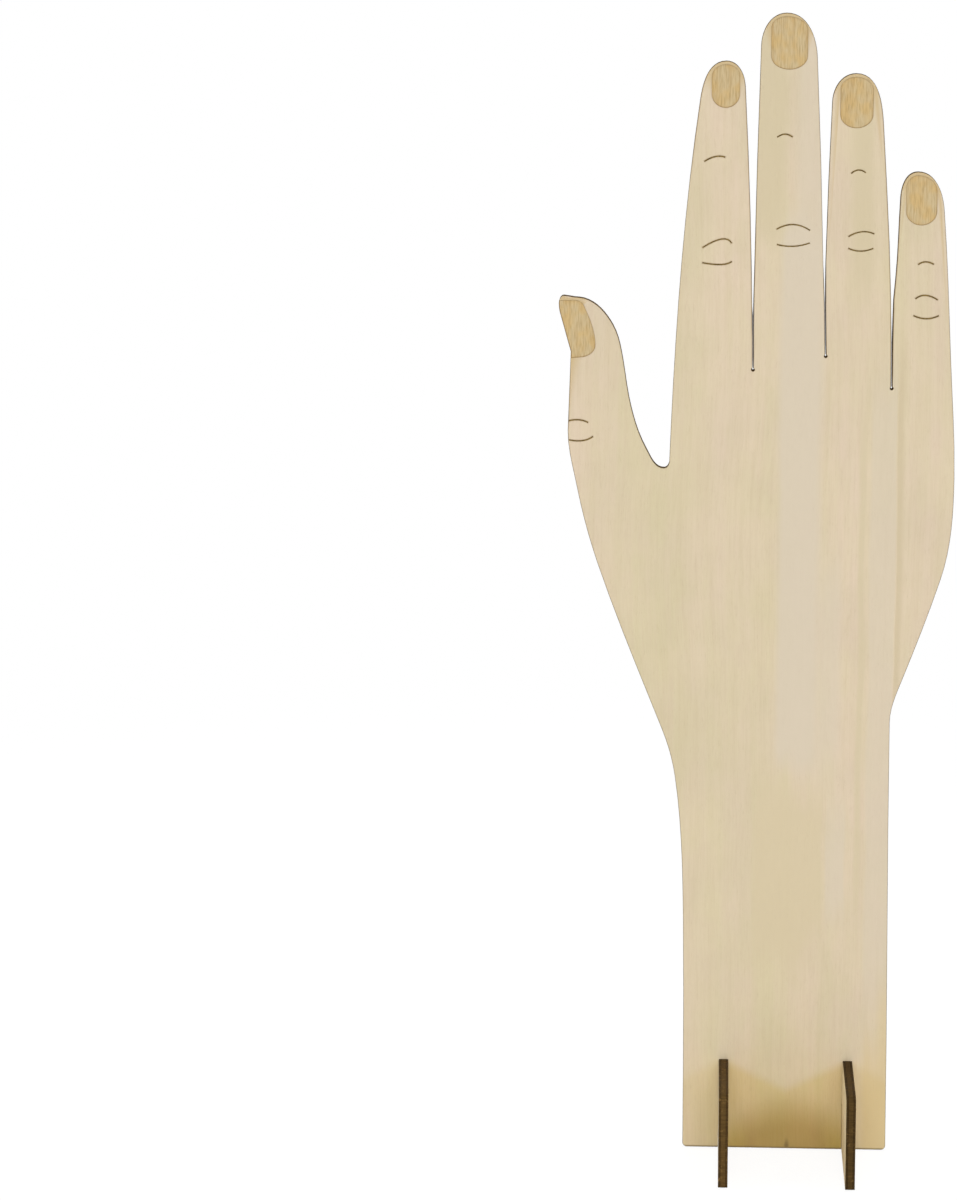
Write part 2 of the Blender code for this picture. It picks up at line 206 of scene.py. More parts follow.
def new_group(name, inputs, outputs):
    """An empty node group with named sockets, and its inner ends."""
    group = bpy.data.node_groups.new(name, "ShaderNodeTree")
    for label, kind, value in inputs:
        socket = group.interface.new_socket(label, in_out="INPUT", socket_type=SOCKET_KINDS[kind])
        if value is not None:
            socket.default_value = value
    for label, kind in outputs:
        group.interface.new_socket(label, in_out="OUTPUT", socket_type=SOCKET_KINDS[kind])
    entry = group.nodes.new("NodeGroupInput")
    leave = group.nodes.new("NodeGroupOutput")
    return group, entry.outputs, leave.inputs


def finish_group(group, result, **outputs):
    """Joins the group's results to its named outputs, and tells what the group gives."""
    for name, value in outputs.items():
        group.links.new(value, result[name])
    print("The group", group.name, "gives", list(outputs))
    return group


def use_group(tree, group, **inputs):
    """A group put to use in a tree. Blanks in the names of its inputs are underscores here."""
    node = add_node(tree, "ShaderNodeGroup", node_tree=group)
    for name, value in inputs.items():
        fill_socket(tree, node.inputs[name.replace("_", " ")], value)
    return node.outputs


print("A socket of a group holds one of", list(SOCKET_KINDS))

# %% [markdown]
# ## Grain that follows the sheet
#
# Wood fibres are long and thin, so every noise here is stretched along the grain. The pieces
# carry their own place in the sheet as a vector called "sheet": metres across the grain, depth
# from the middle of the sheet, and metres along the grain. The grain then runs up the hand and
# along the feet with one recipe, and it stays on the wood when a foot slides. A layer of noise is
# written as four numbers: features per metre across the grain, along it and through the sheet,
# and how fine its detail is.

# %% Stretched noise, the base of every figure
THROUGH = 1000.0
NOISE_MIDDLE = 0.5
NOISE_RANGE = (0.30, 0.70)


def make_stretched_noise():
    """Noise with so many features per metre across the grain, along it and through the sheet."""
    group, given, result = new_group(
        "Stretched noise",
        [("Place", "vector", None), ("Across", "number", 100.0), ("Along", "number", 10.0),
         ("Through", "number", THROUGH), ("Detail", "number", 2.0)],
        [("Value", "number")])
    scale = add_node(group, "ShaderNodeCombineXYZ",
                     {"X": given["Across"], "Y": given["Through"], "Z": given["Along"]})
    place = move_or_stretch(group, "MULTIPLY", given["Place"], scale.outputs["Vector"])
    noise = add_node(group, "ShaderNodeTexNoise",
                     {"Vector": place.outputs["Vector"], "Scale": 1.0, "Detail": given["Detail"]})
    return finish_group(group, result, Value=noise.outputs["Fac"])


STRETCHED_NOISE = make_stretched_noise()


def stretched(tree, place, layer):
    """The noise of one layer at a place in the sheet."""
    across, along, through, detail = layer
    return use_group(tree, STRETCHED_NOISE, Place=place, Across=across, Along=along,
                     Through=through, Detail=detail)["Value"]


# %% [markdown]
# ## The figure of the veneer
#
# The face of the plywood is a sheet of pale wood, peeled or sliced thin. Seen closely it has
# several scales of pattern: soft bands a finger wide that lean to pink or to green, threads a
# millimetre or two wide, fibres finer than a hair, and short pores. A photograph of wood wrapped
# on the piece would show them all, but it wouldn't run true on every piece and side. Layers of
# noise do, and each layer can be made stronger or weaker by itself. On this pale wood every
# layer is faint: bands change the hue more than the brightness.

# %% The veneer, for the hand and the feet
SWAY = (8.0, 11.0, THROUGH, 1.0)
SWAY_REACH = 6.0 * MM
WIDE_BANDS = (70.0, 3.0, THROUGH, 2.0)
NARROW_BANDS = (330.0, 7.0, THROUGH, 2.0)
MOTTLE = (130.0, 75.0, THROUGH, 3.0)
BAND_LIMITS = (0.34, 0.66)
WIDE_SHARE, NARROW_SHARE, MOTTLE_SHARE = 0.46, 0.22, 0.32
CLOUDS = (60.0, 38.0, THROUGH, 3.0)
CLOUD_LIGHT = (0.975, 1.025)
THREADS = (900.0, 22.0, THROUGH, 3.0)
FIBRES = (3300.0, 120.0, THROUGH, 2.0)
PORES = (4200.0, 520.0, THROUGH, 1.0)
THREAD_LIMITS, FIBRE_LIMITS, PORE_LIMITS = (0.42, 0.75), (0.40, 0.75), (0.58, 0.75)
THREAD_SHARE, FIBRE_SHARE, PORE_SHARE = 0.09, 0.10, 0.12
FIBRE_HEIGHT = 0.7
VENEER_ROUGHNESS = (0.60, 0.74)


def make_veneer_figure():
    """Colour, roughness and height of bare pale veneer."""
    group, given, result = new_group(
        "Pale veneer",
        [("Place", "vector", None), ("Scorch", "number", 0.0), ("Figure", "number", 1.0),
         ("Greenish wood", "colour", srgb(217, 204, 168)),
         ("Pinkish wood", "colour", srgb(223, 204, 179)),
         ("Fibre", "colour", srgb(188, 165, 124)), ("Scorched", "colour", srgb(140, 108, 62))],
        [("Colour", "colour"), ("Roughness", "number"), ("Height", "number")])
    place = given["Place"]
    sway = calculate(group, "SUBTRACT", stretched(group, place, SWAY), NOISE_MIDDLE)
    shift = add_node(group, "ShaderNodeCombineXYZ", {"X": multiply(group, sway, SWAY_REACH)})
    swayed = move_or_stretch(group, "ADD", place, shift.outputs["Vector"]).outputs["Vector"]
    wide = fade(group, stretched(group, swayed, WIDE_BANDS), *BAND_LIMITS)
    narrow = fade(group, stretched(group, swayed, NARROW_BANDS), *BAND_LIMITS)
    mottle = fade(group, stretched(group, place, MOTTLE), *NOISE_RANGE)
    bands = calculate(group, "ADD", multiply(group, wide, WIDE_SHARE),
                      multiply(group, narrow, NARROW_SHARE))
    bands = calculate(group, "ADD", bands, multiply(group, mottle, MOTTLE_SHARE))
    colour = mix_colours(group, bands, given["Greenish wood"], given["Pinkish wood"])
    threads = fade(group, stretched(group, swayed, THREADS), *THREAD_LIMITS)
    fibres = stretched(group, swayed, FIBRES)
    pores = fade(group, stretched(group, swayed, PORES), *PORE_LIMITS)
    for mask, share in ((threads, THREAD_SHARE), (fade(group, fibres, *FIBRE_LIMITS), FIBRE_SHARE),
                        (pores, PORE_SHARE)):
        strength = multiply(group, mask, share, given["Figure"])
        colour = mix_colours(group, strength, colour, given["Fibre"])
    clouds = stretched(group, place, CLOUDS)
    colour = shade(group, colour, fade(group, clouds, *NOISE_RANGE, *CLOUD_LIGHT))
    colour = mix_colours(group, given["Scorch"], colour, given["Scorched"])
    height = calculate(group, "SUBTRACT", multiply(group, fibres, FIBRE_HEIGHT), pores)
    roughness = fade(group, fibres, *NOISE_RANGE, *VENEER_ROUGHNESS)
    return finish_group(group, result, Colour=colour, Roughness=roughness, Height=height)


VENEER_FIGURE = make_veneer_figure()

# %% [markdown]
# ## Strips in the veneer
#
# A paler strip runs up the middle of this hand and into the middle finger. Its border is clearer
# on the thumb's side than on the other, and thinner strips run beside it. Noise alone would never
# put them there, so a small group draws one strip: a mask that is 1 between two borders and fades
# out at its ends. The borders sway a little, as grain does.

# %% One strip along the grain
STRIP_SWAY = (90.0, 26.0, THROUGH, 2.0)
SIDE_SWAY = 2.5 * MM
END_SWAY = 40.0 * MM


def make_strip():
    """A mask that is 1 inside one strip along the grain, and 0 outside."""
    group, given, result = new_group(
        "Strip along the grain",
        [("Place", "vector", None), ("Left", "number", 0.0), ("Right", "number", 0.01),
         ("Low", "number", 0.0), ("High", "number", 0.1), ("Left border", "number", 0.0006),
         ("Right border", "number", 0.0006), ("Ends", "number", 0.02)],
        [("Mask", "number")])
    sway = calculate(group, "SUBTRACT", stretched(group, given["Place"], STRIP_SWAY), NOISE_MIDDLE)
    parts = split(group, given["Place"])
    across = calculate(group, "ADD", parts["X"], multiply(group, sway, SIDE_SWAY))
    along = calculate(group, "ADD", parts["Z"], multiply(group, sway, END_SWAY))

    def inside(more, less, border):
        return fade(group, calculate(group, "SUBTRACT", more, less), 0.0, given[border])

    sides = multiply(group, inside(across, given["Left"], "Left border"),
                     inside(given["Right"], across, "Right border"))
    ends = multiply(group, inside(along, given["Low"], "Ends"),
                    inside(given["High"], along, "Ends"))
    return finish_group(group, result, Mask=multiply(group, sides, ends))


STRIP = make_strip()


def lay_strip(tree, place, colour, wood, strength, sides, ends, borders, end_fade):
    """Lays one strip of another wood colour over the veneer. Sides and ends are in metres."""
    mask = use_group(tree, STRIP, Place=place, Left=sides[0], Right=sides[1], Low=ends[0],
                     High=ends[1], Left_border=borders[0], Right_border=borders[1],
                     Ends=end_fade)["Mask"]
    return mix_colours(tree, multiply(tree, mask, strength), colour, wood)


# %% [markdown]
# ## The burnt edge
#
# A laser cuts by burning. It leaves the walls of the cut brown to black, with fine marks that
# run through the sheet, because the beam pulses, and small specks where it burnt less. The three
# plies show faintly: the middle ply lies crosswise and stays a little lighter, and the two glue
# lines are darkest. The group works the layers out from the depth in the sheet, so they lie
# right on every wall, round every curve.

# %% Burnt cut walls with their plies
hand_low, hand_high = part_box("hand_panel")
HALF_SHEET = (hand_high.y - hand_low.y) / 2.0
FACE_PLY = 0.65 * MM
GLUE_LINE = 0.07 * MM
GLUE_JOINT = HALF_SHEET - FACE_PLY
PULSES = (3200.0, 3200.0, 420.0, 1.0)
PATCHES = (420.0, 420.0, 300.0, 2.0)
SPECKS = (1500.0, 1500.0, 1300.0, 2.0)
PULSE_LIMITS, PATCH_LIMITS, SPECK_LIMITS = (0.25, 0.75), (0.40, 0.70), (0.52, 0.68)
PULSE_LIGHT = (0.78, 1.22)
SPECK_SHARE = 0.55
GLUE_CORE = 0.4 * GLUE_LINE
GLUE_SHARE = 0.7
GLUE_HOLLOW = 0.8
EDGE_ROUGHNESS = (0.78, 0.92)


def make_burnt_edge():
    """Colour, roughness and height of a laser-cut wall."""
    group, given, result = new_group(
        "Laser burnt edge",
        [("Place", "vector", None), ("Lightness", "number", 1.0),
         ("Face ply", "colour", srgb(75, 56, 28)), ("Middle ply", "colour", srgb(92, 70, 36)),
         ("Glue", "colour", srgb(46, 34, 16)), ("Less burnt", "colour", srgb(151, 119, 70))],
        [("Colour", "colour"), ("Roughness", "number"), ("Height", "number")])
    place = given["Place"]
    depth = calculate(group, "ABSOLUTE", split(group, place)["Y"])
    middle = fade(group, depth, GLUE_JOINT - GLUE_LINE, GLUE_JOINT, 1.0, 0.0)
    off_joint = calculate(group, "ABSOLUTE", calculate(group, "SUBTRACT", depth, GLUE_JOINT))
    glue = fade(group, off_joint, GLUE_CORE, GLUE_LINE, 1.0, 0.0)
    pulses = stretched(group, place, PULSES)
    patches = stretched(group, place, PATCHES)
    specks = fade(group, stretched(group, place, SPECKS), *SPECK_LIMITS)
    colour = mix_colours(group, middle, given["Face ply"], given["Middle ply"])
    lighter = multiply(group, fade(group, patches, *PATCH_LIMITS), specks, SPECK_SHARE)
    colour = mix_colours(group, lighter, colour, given["Less burnt"])
    colour = mix_colours(group, multiply(group, glue, GLUE_SHARE), colour, given["Glue"])
    light = fade(group, pulses, *PULSE_LIMITS, *PULSE_LIGHT)
    colour = shade(group, colour, multiply(group, light, given["Lightness"]))
    height = calculate(group, "SUBTRACT", pulses, multiply(group, glue, GLUE_HOLLOW))
    roughness = fade(group, patches, *NOISE_RANGE, *EDGE_ROUGHNESS)
    return finish_group(group, result, Colour=colour, Roughness=roughness, Height=height)


BURNT_EDGE = make_burnt_edge()
print("The sheet is", round(2.0 * HALF_SHEET / MM, 3), "mm thick")

# %% [markdown]
# ## From figure to material
#
# Each material reads the piece's own place in the sheet, asks a group for colour, roughness and
# height, and hands them to one Principled shader. The height goes through a Bump node, which
# tilts the light on pores and fibres that are too fine to model.

# %% Helpers that start and finish a material
WOOD_GLOSS = 0.35


def empty_tree(owner):
    """The node tree of a material or world, emptied."""
    owner.use_nodes = True
    owner.node_tree.nodes.clear()
    return owner.node_tree


def start_material(name):
    """A new material with its tree, and the piece's own place in the sheet."""
    material = bpy.data.materials.new(name)
    tree = empty_tree(material)
    place = add_node(tree, "ShaderNodeAttribute", attribute_name="sheet").outputs["Vector"]
    return material, tree, place


def read_mark(tree, name):
    """A number that the mesh carries on its corners, such as how scorched they are."""
    return add_node(tree, "ShaderNodeAttribute", attribute_name=name).outputs["Fac"]


def finish_material(material, colour, roughness, height, relief, gloss=WOOD_GLOSS):
    """Joins colour, roughness and height to one shader. The relief is the height's size."""
    tree = material.node_tree
    bump = add_node(tree, "ShaderNodeBump", {"Height": height, "Strength": 1.0, "Distance": relief})
    shader = add_node(tree, "ShaderNodeBsdfPrincipled",
                      {"Base Color": colour, "Roughness": roughness,
                       "Normal": bump.outputs["Normal"], "Specular IOR Level": gloss})
    add_node(tree, "ShaderNodeOutputMaterial", {"Surface": shader.outputs["BSDF"]})
    print("The material", material.name, "has", len(tree.nodes), "nodes")
    return material


print("Bare wood has a gloss of", WOOD_GLOSS)

# %% [markdown]
# ## Painted shade at the foot of the hand
#
# The lower end of the hand is painted warmer and darker than the rest, most of all between the
# feet. It is painted shade: the shadows that the feet throw from the side lamps, and the warm light
# that they throw back, as a painted reflection. Light alone gives too little of it here, so three
# masks paint it into the wood: a pale one ends under slopes that fall away from both slots, a
# yellow one lies low between them, and a dull one darkens its middle.

# %% The painted shade between the feet
foot_low, foot_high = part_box("right_foot")
SLOT_PLACE = (foot_low.x + foot_high.x) / 2.0
PAINTED_SHADE_TOP = 27.0 * MM
PAINTED_SHADE_FALL = 0.48
PAINTED_SHADE_SOFTNESS = 2.0 * MM
PAINTED_SHADE_BESIDE = 0.4
BETWEEN_SLOTS = (0.96 * SLOT_PLACE, 1.02 * SLOT_PLACE)
ARCH_MIDDLE = 1.5 * MM
ARCH_DROP = 9.0 * MM
LOW_PAINTED_SHADE = (5.0 * MM, 20.0 * MM)
DULL_PAINTED_SHADE = (0.50 * SLOT_PLACE, 0.95 * SLOT_PLACE)
DULL_SHARES = (1.0, 0.35)


def paint_shade_between_feet(tree, place):
    """Three masks of painted shade between the feet: the pale, the yellow and the dull one."""
    parts = split(tree, place)
    from_middle = calculate(tree, "ABSOLUTE", parts["X"])
    aside = calculate(tree, "ABSOLUTE", calculate(tree, "SUBTRACT", from_middle, SLOT_PLACE))
    # Under these slopes lie the feet's shadows from the side lamps, which the pale mask paints as
    # shade.
    slope = calculate(tree, "ADD", parts["Z"], multiply(tree, aside, PAINTED_SHADE_FALL))
    under = fade(tree, slope, PAINTED_SHADE_TOP - PAINTED_SHADE_SOFTNESS, PAINTED_SHADE_TOP + PAINTED_SHADE_SOFTNESS, 1.0, 0.0)
    between = fade(tree, from_middle, *BETWEEN_SLOTS, 1.0, 0.0)
    pale = multiply(tree, under, fade(tree, between, 0.0, 1.0, PAINTED_SHADE_BESIDE, 1.0))
    off_arch = calculate(tree, "SUBTRACT", parts["X"], ARCH_MIDDLE)
    outwards = calculate(tree, "DIVIDE", off_arch, SLOT_PLACE)
    height = calculate(tree, "ADD", parts["Z"], multiply(tree, outwards, outwards, ARCH_DROP))
    yellow = multiply(tree, between, fade(tree, height, *LOW_PAINTED_SHADE, 1.0, 0.0))
    dull = multiply(tree, yellow, fade(tree, from_middle, *DULL_PAINTED_SHADE, *DULL_SHARES))
    return pale, yellow, dull


print("The slots lie", round(SLOT_PLACE / MM, 2), "mm from the middle of the hand")

# %% [markdown]
# ## Painted shade and a dark mark at the lower edge
#
# A darker rim along the lower edge is painted shade: the contact shadow where the hand stands on
# the floor. Near the middle of that edge a small pointed dark mark is painted as well. Both are
# masks over the veneer: as geometry they would be flat anyway.

# %% The painted contact shade and the dark mark
CONTACT_SHADE_FADE = (0.1 * MM, 0.7 * MM)
CONTACT_SHADE_STRENGTH = 0.85
DARK_MARK_PLACE = (0.6 * MM, 0.0, 0.0)
DARK_MARK_HALF_WIDTH = 1.1 * MM
DARK_MARK_HEIGHT = 4.0 * MM
DARK_MARK_FADE = (0.2, 1.0)
DARK_MARK_STRENGTH = 0.75


def paint_lower_edge_shade_and_mark(tree, place):
    """A mask for the painted contact shade along the lower edge and a small dark mark on it."""
    # The rim is painted contact shade, strongest at the lower edge and fading out just above it.
    rim = fade(tree, split(tree, place)["Z"], *CONTACT_SHADE_FADE, CONTACT_SHADE_STRENGTH, 0.0)
    aside = move_or_stretch(tree, "SUBTRACT", place, DARK_MARK_PLACE).outputs["Vector"]
    shape = (1.0 / DARK_MARK_HALF_WIDTH, 0.0, 1.0 / DARK_MARK_HEIGHT)
    round_mark = move_or_stretch(tree, "MULTIPLY", aside, shape).outputs["Vector"]
    away = move_or_stretch(tree, "LENGTH", round_mark).outputs["Value"]
    return calculate(tree, "MAXIMUM", rim, fade(tree, away, *DARK_MARK_FADE, DARK_MARK_STRENGTH, 0.0))


# %% [markdown]
# ## The veneer of the hand
#
# The photograph shows which wood lies where: pale strips, greenish streaks and golden borders. A
# painted picture could hold them, but it would blur in a close view. A table of strips stays
# sharp, and one line in it can be changed by itself. The golden rims of the nails come after the
# strips, because on the real hand they lie over the wood. Last come the painted shade between the
# feet, the painted contact shade along the lower edge, and a small dark mark there.

# %% The hand's veneer, with its strips
HAZE = 0.75
VENEER_RELIEF = 0.02 * MM
NAIL_GOLD = srgb(206, 181, 134)
NAIL_GOLD_SHARE = 0.85
# Tints of the painted shade between the feet: the pale, the yellow and the dull one.
PAINTED_SHADE_TINTS = (srgb(251, 246, 220), srgb(255, 251, 188), srgb(217, 207, 230))
# The colour of the painted contact shade and the dark mark at the lower edge.
LOWER_EDGE_DARK = srgb(120, 100, 60)
PALE = srgb(218, 204, 181)
GOLDEN = srgb(216, 200, 166)
STREAK = srgb(213, 198, 164)
BORDER = srgb(219, 199, 157)
DARK = srgb(209, 192, 159)

# Wood, strength, left and right side, low and high end, soft borders at both sides, fade at ends
STRIPS = (
    (PALE, 0.90, (-0.0056, 0.0100), (0.112, 0.285), (0.0030, 0.0040), 0.014),
    (PALE, 0.60, (-0.0020, 0.0110), (0.262, 0.350), (0.0040, 0.0040), 0.014),
    (STREAK, 0.85, (-0.0130, -0.0020), (0.268, 0.350), (0.0030, 0.0035), 0.020),
    (STREAK, 0.85, (0.0145, 0.0235), (0.245, 0.330), (0.0035, 0.0030), 0.025),
    (PALE, 0.60, (0.0070, 0.0160), (0.104, 0.195), (0.0030, 0.0030), 0.030),
    (GOLDEN, 0.90, (-0.0120, 0.0105), (0.050, 0.118), (0.0030, 0.0012), 0.020),
    (PALE, 0.70, (0.0105, 0.0172), (0.060, 0.112), (0.0010, 0.0012), 0.020),
    (STREAK, 0.65, (0.0188, 0.0219), (0.060, 0.240), (0.0012, 0.0012), 0.030),
    (PALE, 0.60, (0.0220, 0.0302), (0.030, 0.245), (0.0015, 0.0008), 0.030),
    (BORDER, 0.85, (0.0215, 0.0400), (-0.030, 0.040), (0.0030, 0.0020), 0.020),
    (BORDER, 0.60, (0.0260, 0.0400), (0.010, 0.062), (0.0030, 0.0020), 0.020),
    (DARK, 0.80, (0.0300, 0.0330), (0.120, 0.250), (0.0005, 0.0020), 0.030))


def make_hand_veneer():
    """Pale veneer with this hand's own strips, golden nail rims, painted shade and a dark mark."""
    material, tree, place = start_material("hand_veneer")
    haze = multiply(tree, read_mark(tree, "scorch"), HAZE)
    figure = use_group(tree, VENEER_FIGURE, Place=place, Scorch=haze)
    colour = figure["Colour"]
    for strip in STRIPS:
        colour = lay_strip(tree, place, colour, *strip)
    gold = multiply(tree, read_mark(tree, "nail_rim"), NAIL_GOLD_SHARE)
    colour = mix_colours(tree, gold, colour, NAIL_GOLD)
    # Painted shade and a painted warm reflection from the feet, multiplied into the wood.
    for mask, shade_tint in zip(paint_shade_between_feet(tree, place), PAINTED_SHADE_TINTS):
        colour = mix_colours(tree, mask, colour, shade_tint, blend="MULTIPLY")
    # Painted contact shade along the lower edge, and a small dark mark there.
    colour = mix_colours(tree, paint_lower_edge_shade_and_mark(tree, place), colour, LOWER_EDGE_DARK)
    return finish_material(material, colour, figure["Roughness"], figure["Height"], VENEER_RELIEF)


hand_veneer = make_hand_veneer()

# %% [markdown]
# ## The veneer of the feet
#
# The feet come from a lighter part of the sheet with a stronger figure. A second recipe would
# have to be kept in step with the first, so the same group makes it, with other values.

# %% The feet's veneer
FOOT_FIGURE = 1.7
FOOT_GREENISH, FOOT_PINKISH = srgb(226, 211, 172), srgb(232, 216, 184)
FOOT_FIBRE = srgb(196, 170, 124)


def make_foot_veneer():
    """The veneer of the feet: lighter, and with a stronger figure than the hand's."""
    material, tree, place = start_material("foot_veneer")
    haze = multiply(tree, read_mark(tree, "scorch"), HAZE)
    figure = use_group(tree, VENEER_FIGURE, Place=place, Scorch=haze, Figure=FOOT_FIGURE,
                       Greenish_wood=FOOT_GREENISH, Pinkish_wood=FOOT_PINKISH, Fibre=FOOT_FIBRE)
    return finish_material(material, figure["Colour"], figure["Roughness"], figure["Height"],
                           VENEER_RELIEF)


foot_veneer = make_foot_veneer()

# %% [markdown]
# ## Engraved nails and knuckle lines
#
# The nails are engraved: the beam sweeps over them in close lines and takes off a quarter of a
# millimetre, which leaves golden wood with the grain standing out, and a browner rim where the
# beam slows down and turns. The knuckle lines are one slow pass each, burnt brown. Their shapes
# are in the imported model, so only the finish is made here, from the same stretched noise.

# %% The engraved nails
SWEEP_PITCH = 0.12 * MM
SWEEP_HEIGHT = 0.25
NAIL_PATCHES = (260.0, 170.0, THROUGH, 2.0)
NAIL_THREADS = (1700.0, 70.0, THROUGH, 3.0)
NAIL_FIBRES = (3600.0, 300.0, THROUGH, 2.0)
NAIL_PATCH_LIMITS, NAIL_THREAD_LIMITS, NAIL_FIBRE_LIMITS = (0.36, 0.64), (0.45, 0.72), (0.42, 0.72)
NAIL_THREAD_SHARE, NAIL_FIBRE_SHARE, NAIL_SCORCH_SHARE = 0.34, 0.42, 0.8
PALE_GOLD, RICH_GOLD = srgb(211, 190, 147), srgb(214, 184, 128)
THREAD_BROWN, FIBRE_BROWN, RIM_BROWN = srgb(184, 146, 88), srgb(164, 130, 78), srgb(146, 110, 60)
NAIL_ROUGHNESS = (0.66, 0.8)
NAIL_RELIEF = 0.03 * MM


def make_engraved_nail():
    """Golden, freshly cut wood with strong fibres, and the fine ridges of the beam's sweeps."""
    material, tree, place = start_material("engraved_nail")
    patches = fade(tree, stretched(tree, place, NAIL_PATCHES), *NAIL_PATCH_LIMITS)
    threads = fade(tree, stretched(tree, place, NAIL_THREADS), *NAIL_THREAD_LIMITS)
    fibres = stretched(tree, place, NAIL_FIBRES)
    fibre_mask = fade(tree, fibres, *NAIL_FIBRE_LIMITS)
    colour = mix_colours(tree, patches, PALE_GOLD, RICH_GOLD)
    for mask, share, brown in ((threads, NAIL_THREAD_SHARE, THREAD_BROWN),
                               (fibre_mask, NAIL_FIBRE_SHARE, FIBRE_BROWN),
                               (read_mark(tree, "scorch"), NAIL_SCORCH_SHARE, RIM_BROWN)):
        colour = mix_colours(tree, multiply(tree, mask, share), colour, brown)
    turns = multiply(tree, split(tree, place)["Z"], 2.0 * math.pi / SWEEP_PITCH)
    ridges = multiply(tree, calculate(tree, "SINE", turns), SWEEP_HEIGHT)
    height = calculate(tree, "ADD", ridges, fibres)
    roughness = fade(tree, fibres, *NOISE_RANGE, *NAIL_ROUGHNESS)
    return finish_material(material, colour, roughness, height, NAIL_RELIEF)


engraved_nail = make_engraved_nail()

# %% The knuckle lines
LINE_DOTS = (1900.0, 1900.0, THROUGH, 2.0)
DOT_LIMITS = (0.35, 0.65)
LINE_BROWN, LINE_DARK = srgb(145, 120, 64), srgb(103, 82, 40)
LINE_ROUGHNESS = (0.75, 0.9)
LINE_RELIEF = 0.04 * MM


def make_burnt_line():
    """Brown burnt wood, darker and lighter in dots where the beam pulsed."""
    material, tree, place = start_material("burnt_knuckle_line")
    dots = stretched(tree, place, LINE_DOTS)
    colour = mix_colours(tree, fade(tree, dots, *DOT_LIMITS), LINE_BROWN, LINE_DARK)
    roughness = fade(tree, dots, *NOISE_RANGE, *LINE_ROUGHNESS)
    return finish_material(material, colour, roughness, dots, LINE_RELIEF)


burnt_knuckle_line = make_burnt_line()

# %% [markdown]
# ## The burnt walls
#
# The walls of the hand and of the left foot have one tone in the photograph, and the right foot
# was burnt darker. Both tones come from the group for the burnt edge, with one value changed.

# %% Two tones of burnt edge
RIGHT_FOOT_LIGHTNESS = 0.73
EDGE_RELIEF = 0.03 * MM
EDGE_GLOSS = 0.08


def make_edge_material(name, lightness):
    """A burnt wall, lighter or darker."""
    material, tree, place = start_material(name)
    burnt = use_group(tree, BURNT_EDGE, Place=place, Lightness=lightness)
    return finish_material(material, burnt["Colour"], burnt["Roughness"], burnt["Height"],
                           EDGE_RELIEF, EDGE_GLOSS)


laser_burnt_edge = make_edge_material("laser_burnt_edge", 1.0)
darker_burnt_edge = make_edge_material("darker_burnt_edge", RIGHT_FOOT_LIGHTNESS)

# %% [markdown]
# ## From CAD solid to real sheet
#
# The CAD solid has perfectly sharp corners and smooth walls. A real cut sheet differs in small
# ways that the eye reads at once. The next steps give them to a copy of each CAD piece as real
# geometry, because a close view and the exported mesh then have them too. Every step works on
# the depth in the sheet, so a helper gives that depth. The hand lies in the plane of X and Z, so
# its depth is Y, and its grain runs up the fingers along Z. First the file's separate triangles
# are joined to whole areas.

# %% A sheet piece and its directions
X_AXIS, Y_AXIS, Z_AXIS = range(3)
FACING = 0.99
SIDEWAYS = 0.2
NEARLY = 0.005 * MM
WELD = 0.055 * MM
FLAT_ANGLE = math.radians(0.1)


class Sheet:
    """A copy of one CAD piece, and the directions through it and along and across its grain."""

    def __init__(self, node_name, through, along):
        low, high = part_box(node_name)
        self.through = through
        self.along = along
        self.across = X_AXIS + Y_AXIS + Z_AXIS - through - along
        self.middle = (low[through] + high[through]) / 2.0
        self.mesh = bmesh.new()
        self.mesh.from_mesh(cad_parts[node_name].data)
        for layer in ("nail_rim", "in_slot"):
            self.mesh.verts.layers.float.new(layer)

    def depth(self, place):
        return place[self.through] - self.middle

    def flat(self, face):
        return abs(face.normal[self.through]) > FACING

    def wall(self, face):
        return abs(face.normal[self.through]) < SIDEWAYS

    def full_wall(self, face):
        depths = [self.depth(vert.co) for vert in face.verts]
        return self.wall(face) and min(depths) < 0.0 < max(depths)


def join_corners(sheet):
    """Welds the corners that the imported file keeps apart, and makes flat areas whole again."""
    bmesh.ops.remove_doubles(sheet.mesh, verts=sheet.mesh.verts, dist=WELD)
    bmesh.ops.dissolve_limit(sheet.mesh, angle_limit=FLAT_ANGLE, verts=sheet.mesh.verts,
                             edges=sheet.mesh.edges)
    sheet.mesh.normal_update()


hand_sheet = Sheet("hand_panel", through=Y_AXIS, along=Z_AXIS)
join_corners(hand_sheet)
print("The copy of the hand starts with", len(hand_sheet.mesh.faces), "faces")

# %% [markdown]
# ## How deep is the engraving?
#
# The nails are the second largest flat area that faces the front, after the face itself. Their
# depth could be copied from the CAD source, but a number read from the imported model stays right
# when the source changes. It is read now, while every flat area is still whole.

# %% Levels of the engraving
def engraved_levels(sheet):
    """Depths of the flat areas that face the front, the largest area first."""
    areas = {}
    for face in sheet.mesh.faces:
        if face.normal[sheet.through] < -FACING:
            level = round(sheet.depth(face.verts[0].co) / NEARLY) * NEARLY
            areas[level] = areas.get(level, 0.0) + face.calc_area()
    return sorted(areas, key=areas.get, reverse=True)


front_level, nail_level = engraved_levels(hand_sheet)[:2]
print("Depths in mm: face", round(front_level / MM, 3), "nails", round(nail_level / MM, 3))

# %% [markdown]
# ## How wide is the cut here?
#
# Narrow cuts need more care than wide ones, so the next steps ask for the width of the cut at
# each corner. It could be typed in for every slit and hole. A ray that is sent from the wall
# across the cut measures it instead, wherever the cut lies.

# %% The width of a cut at a corner of its wall
WIDEST = 2.0 * MM
HOLE_TURN = math.radians(15.0)


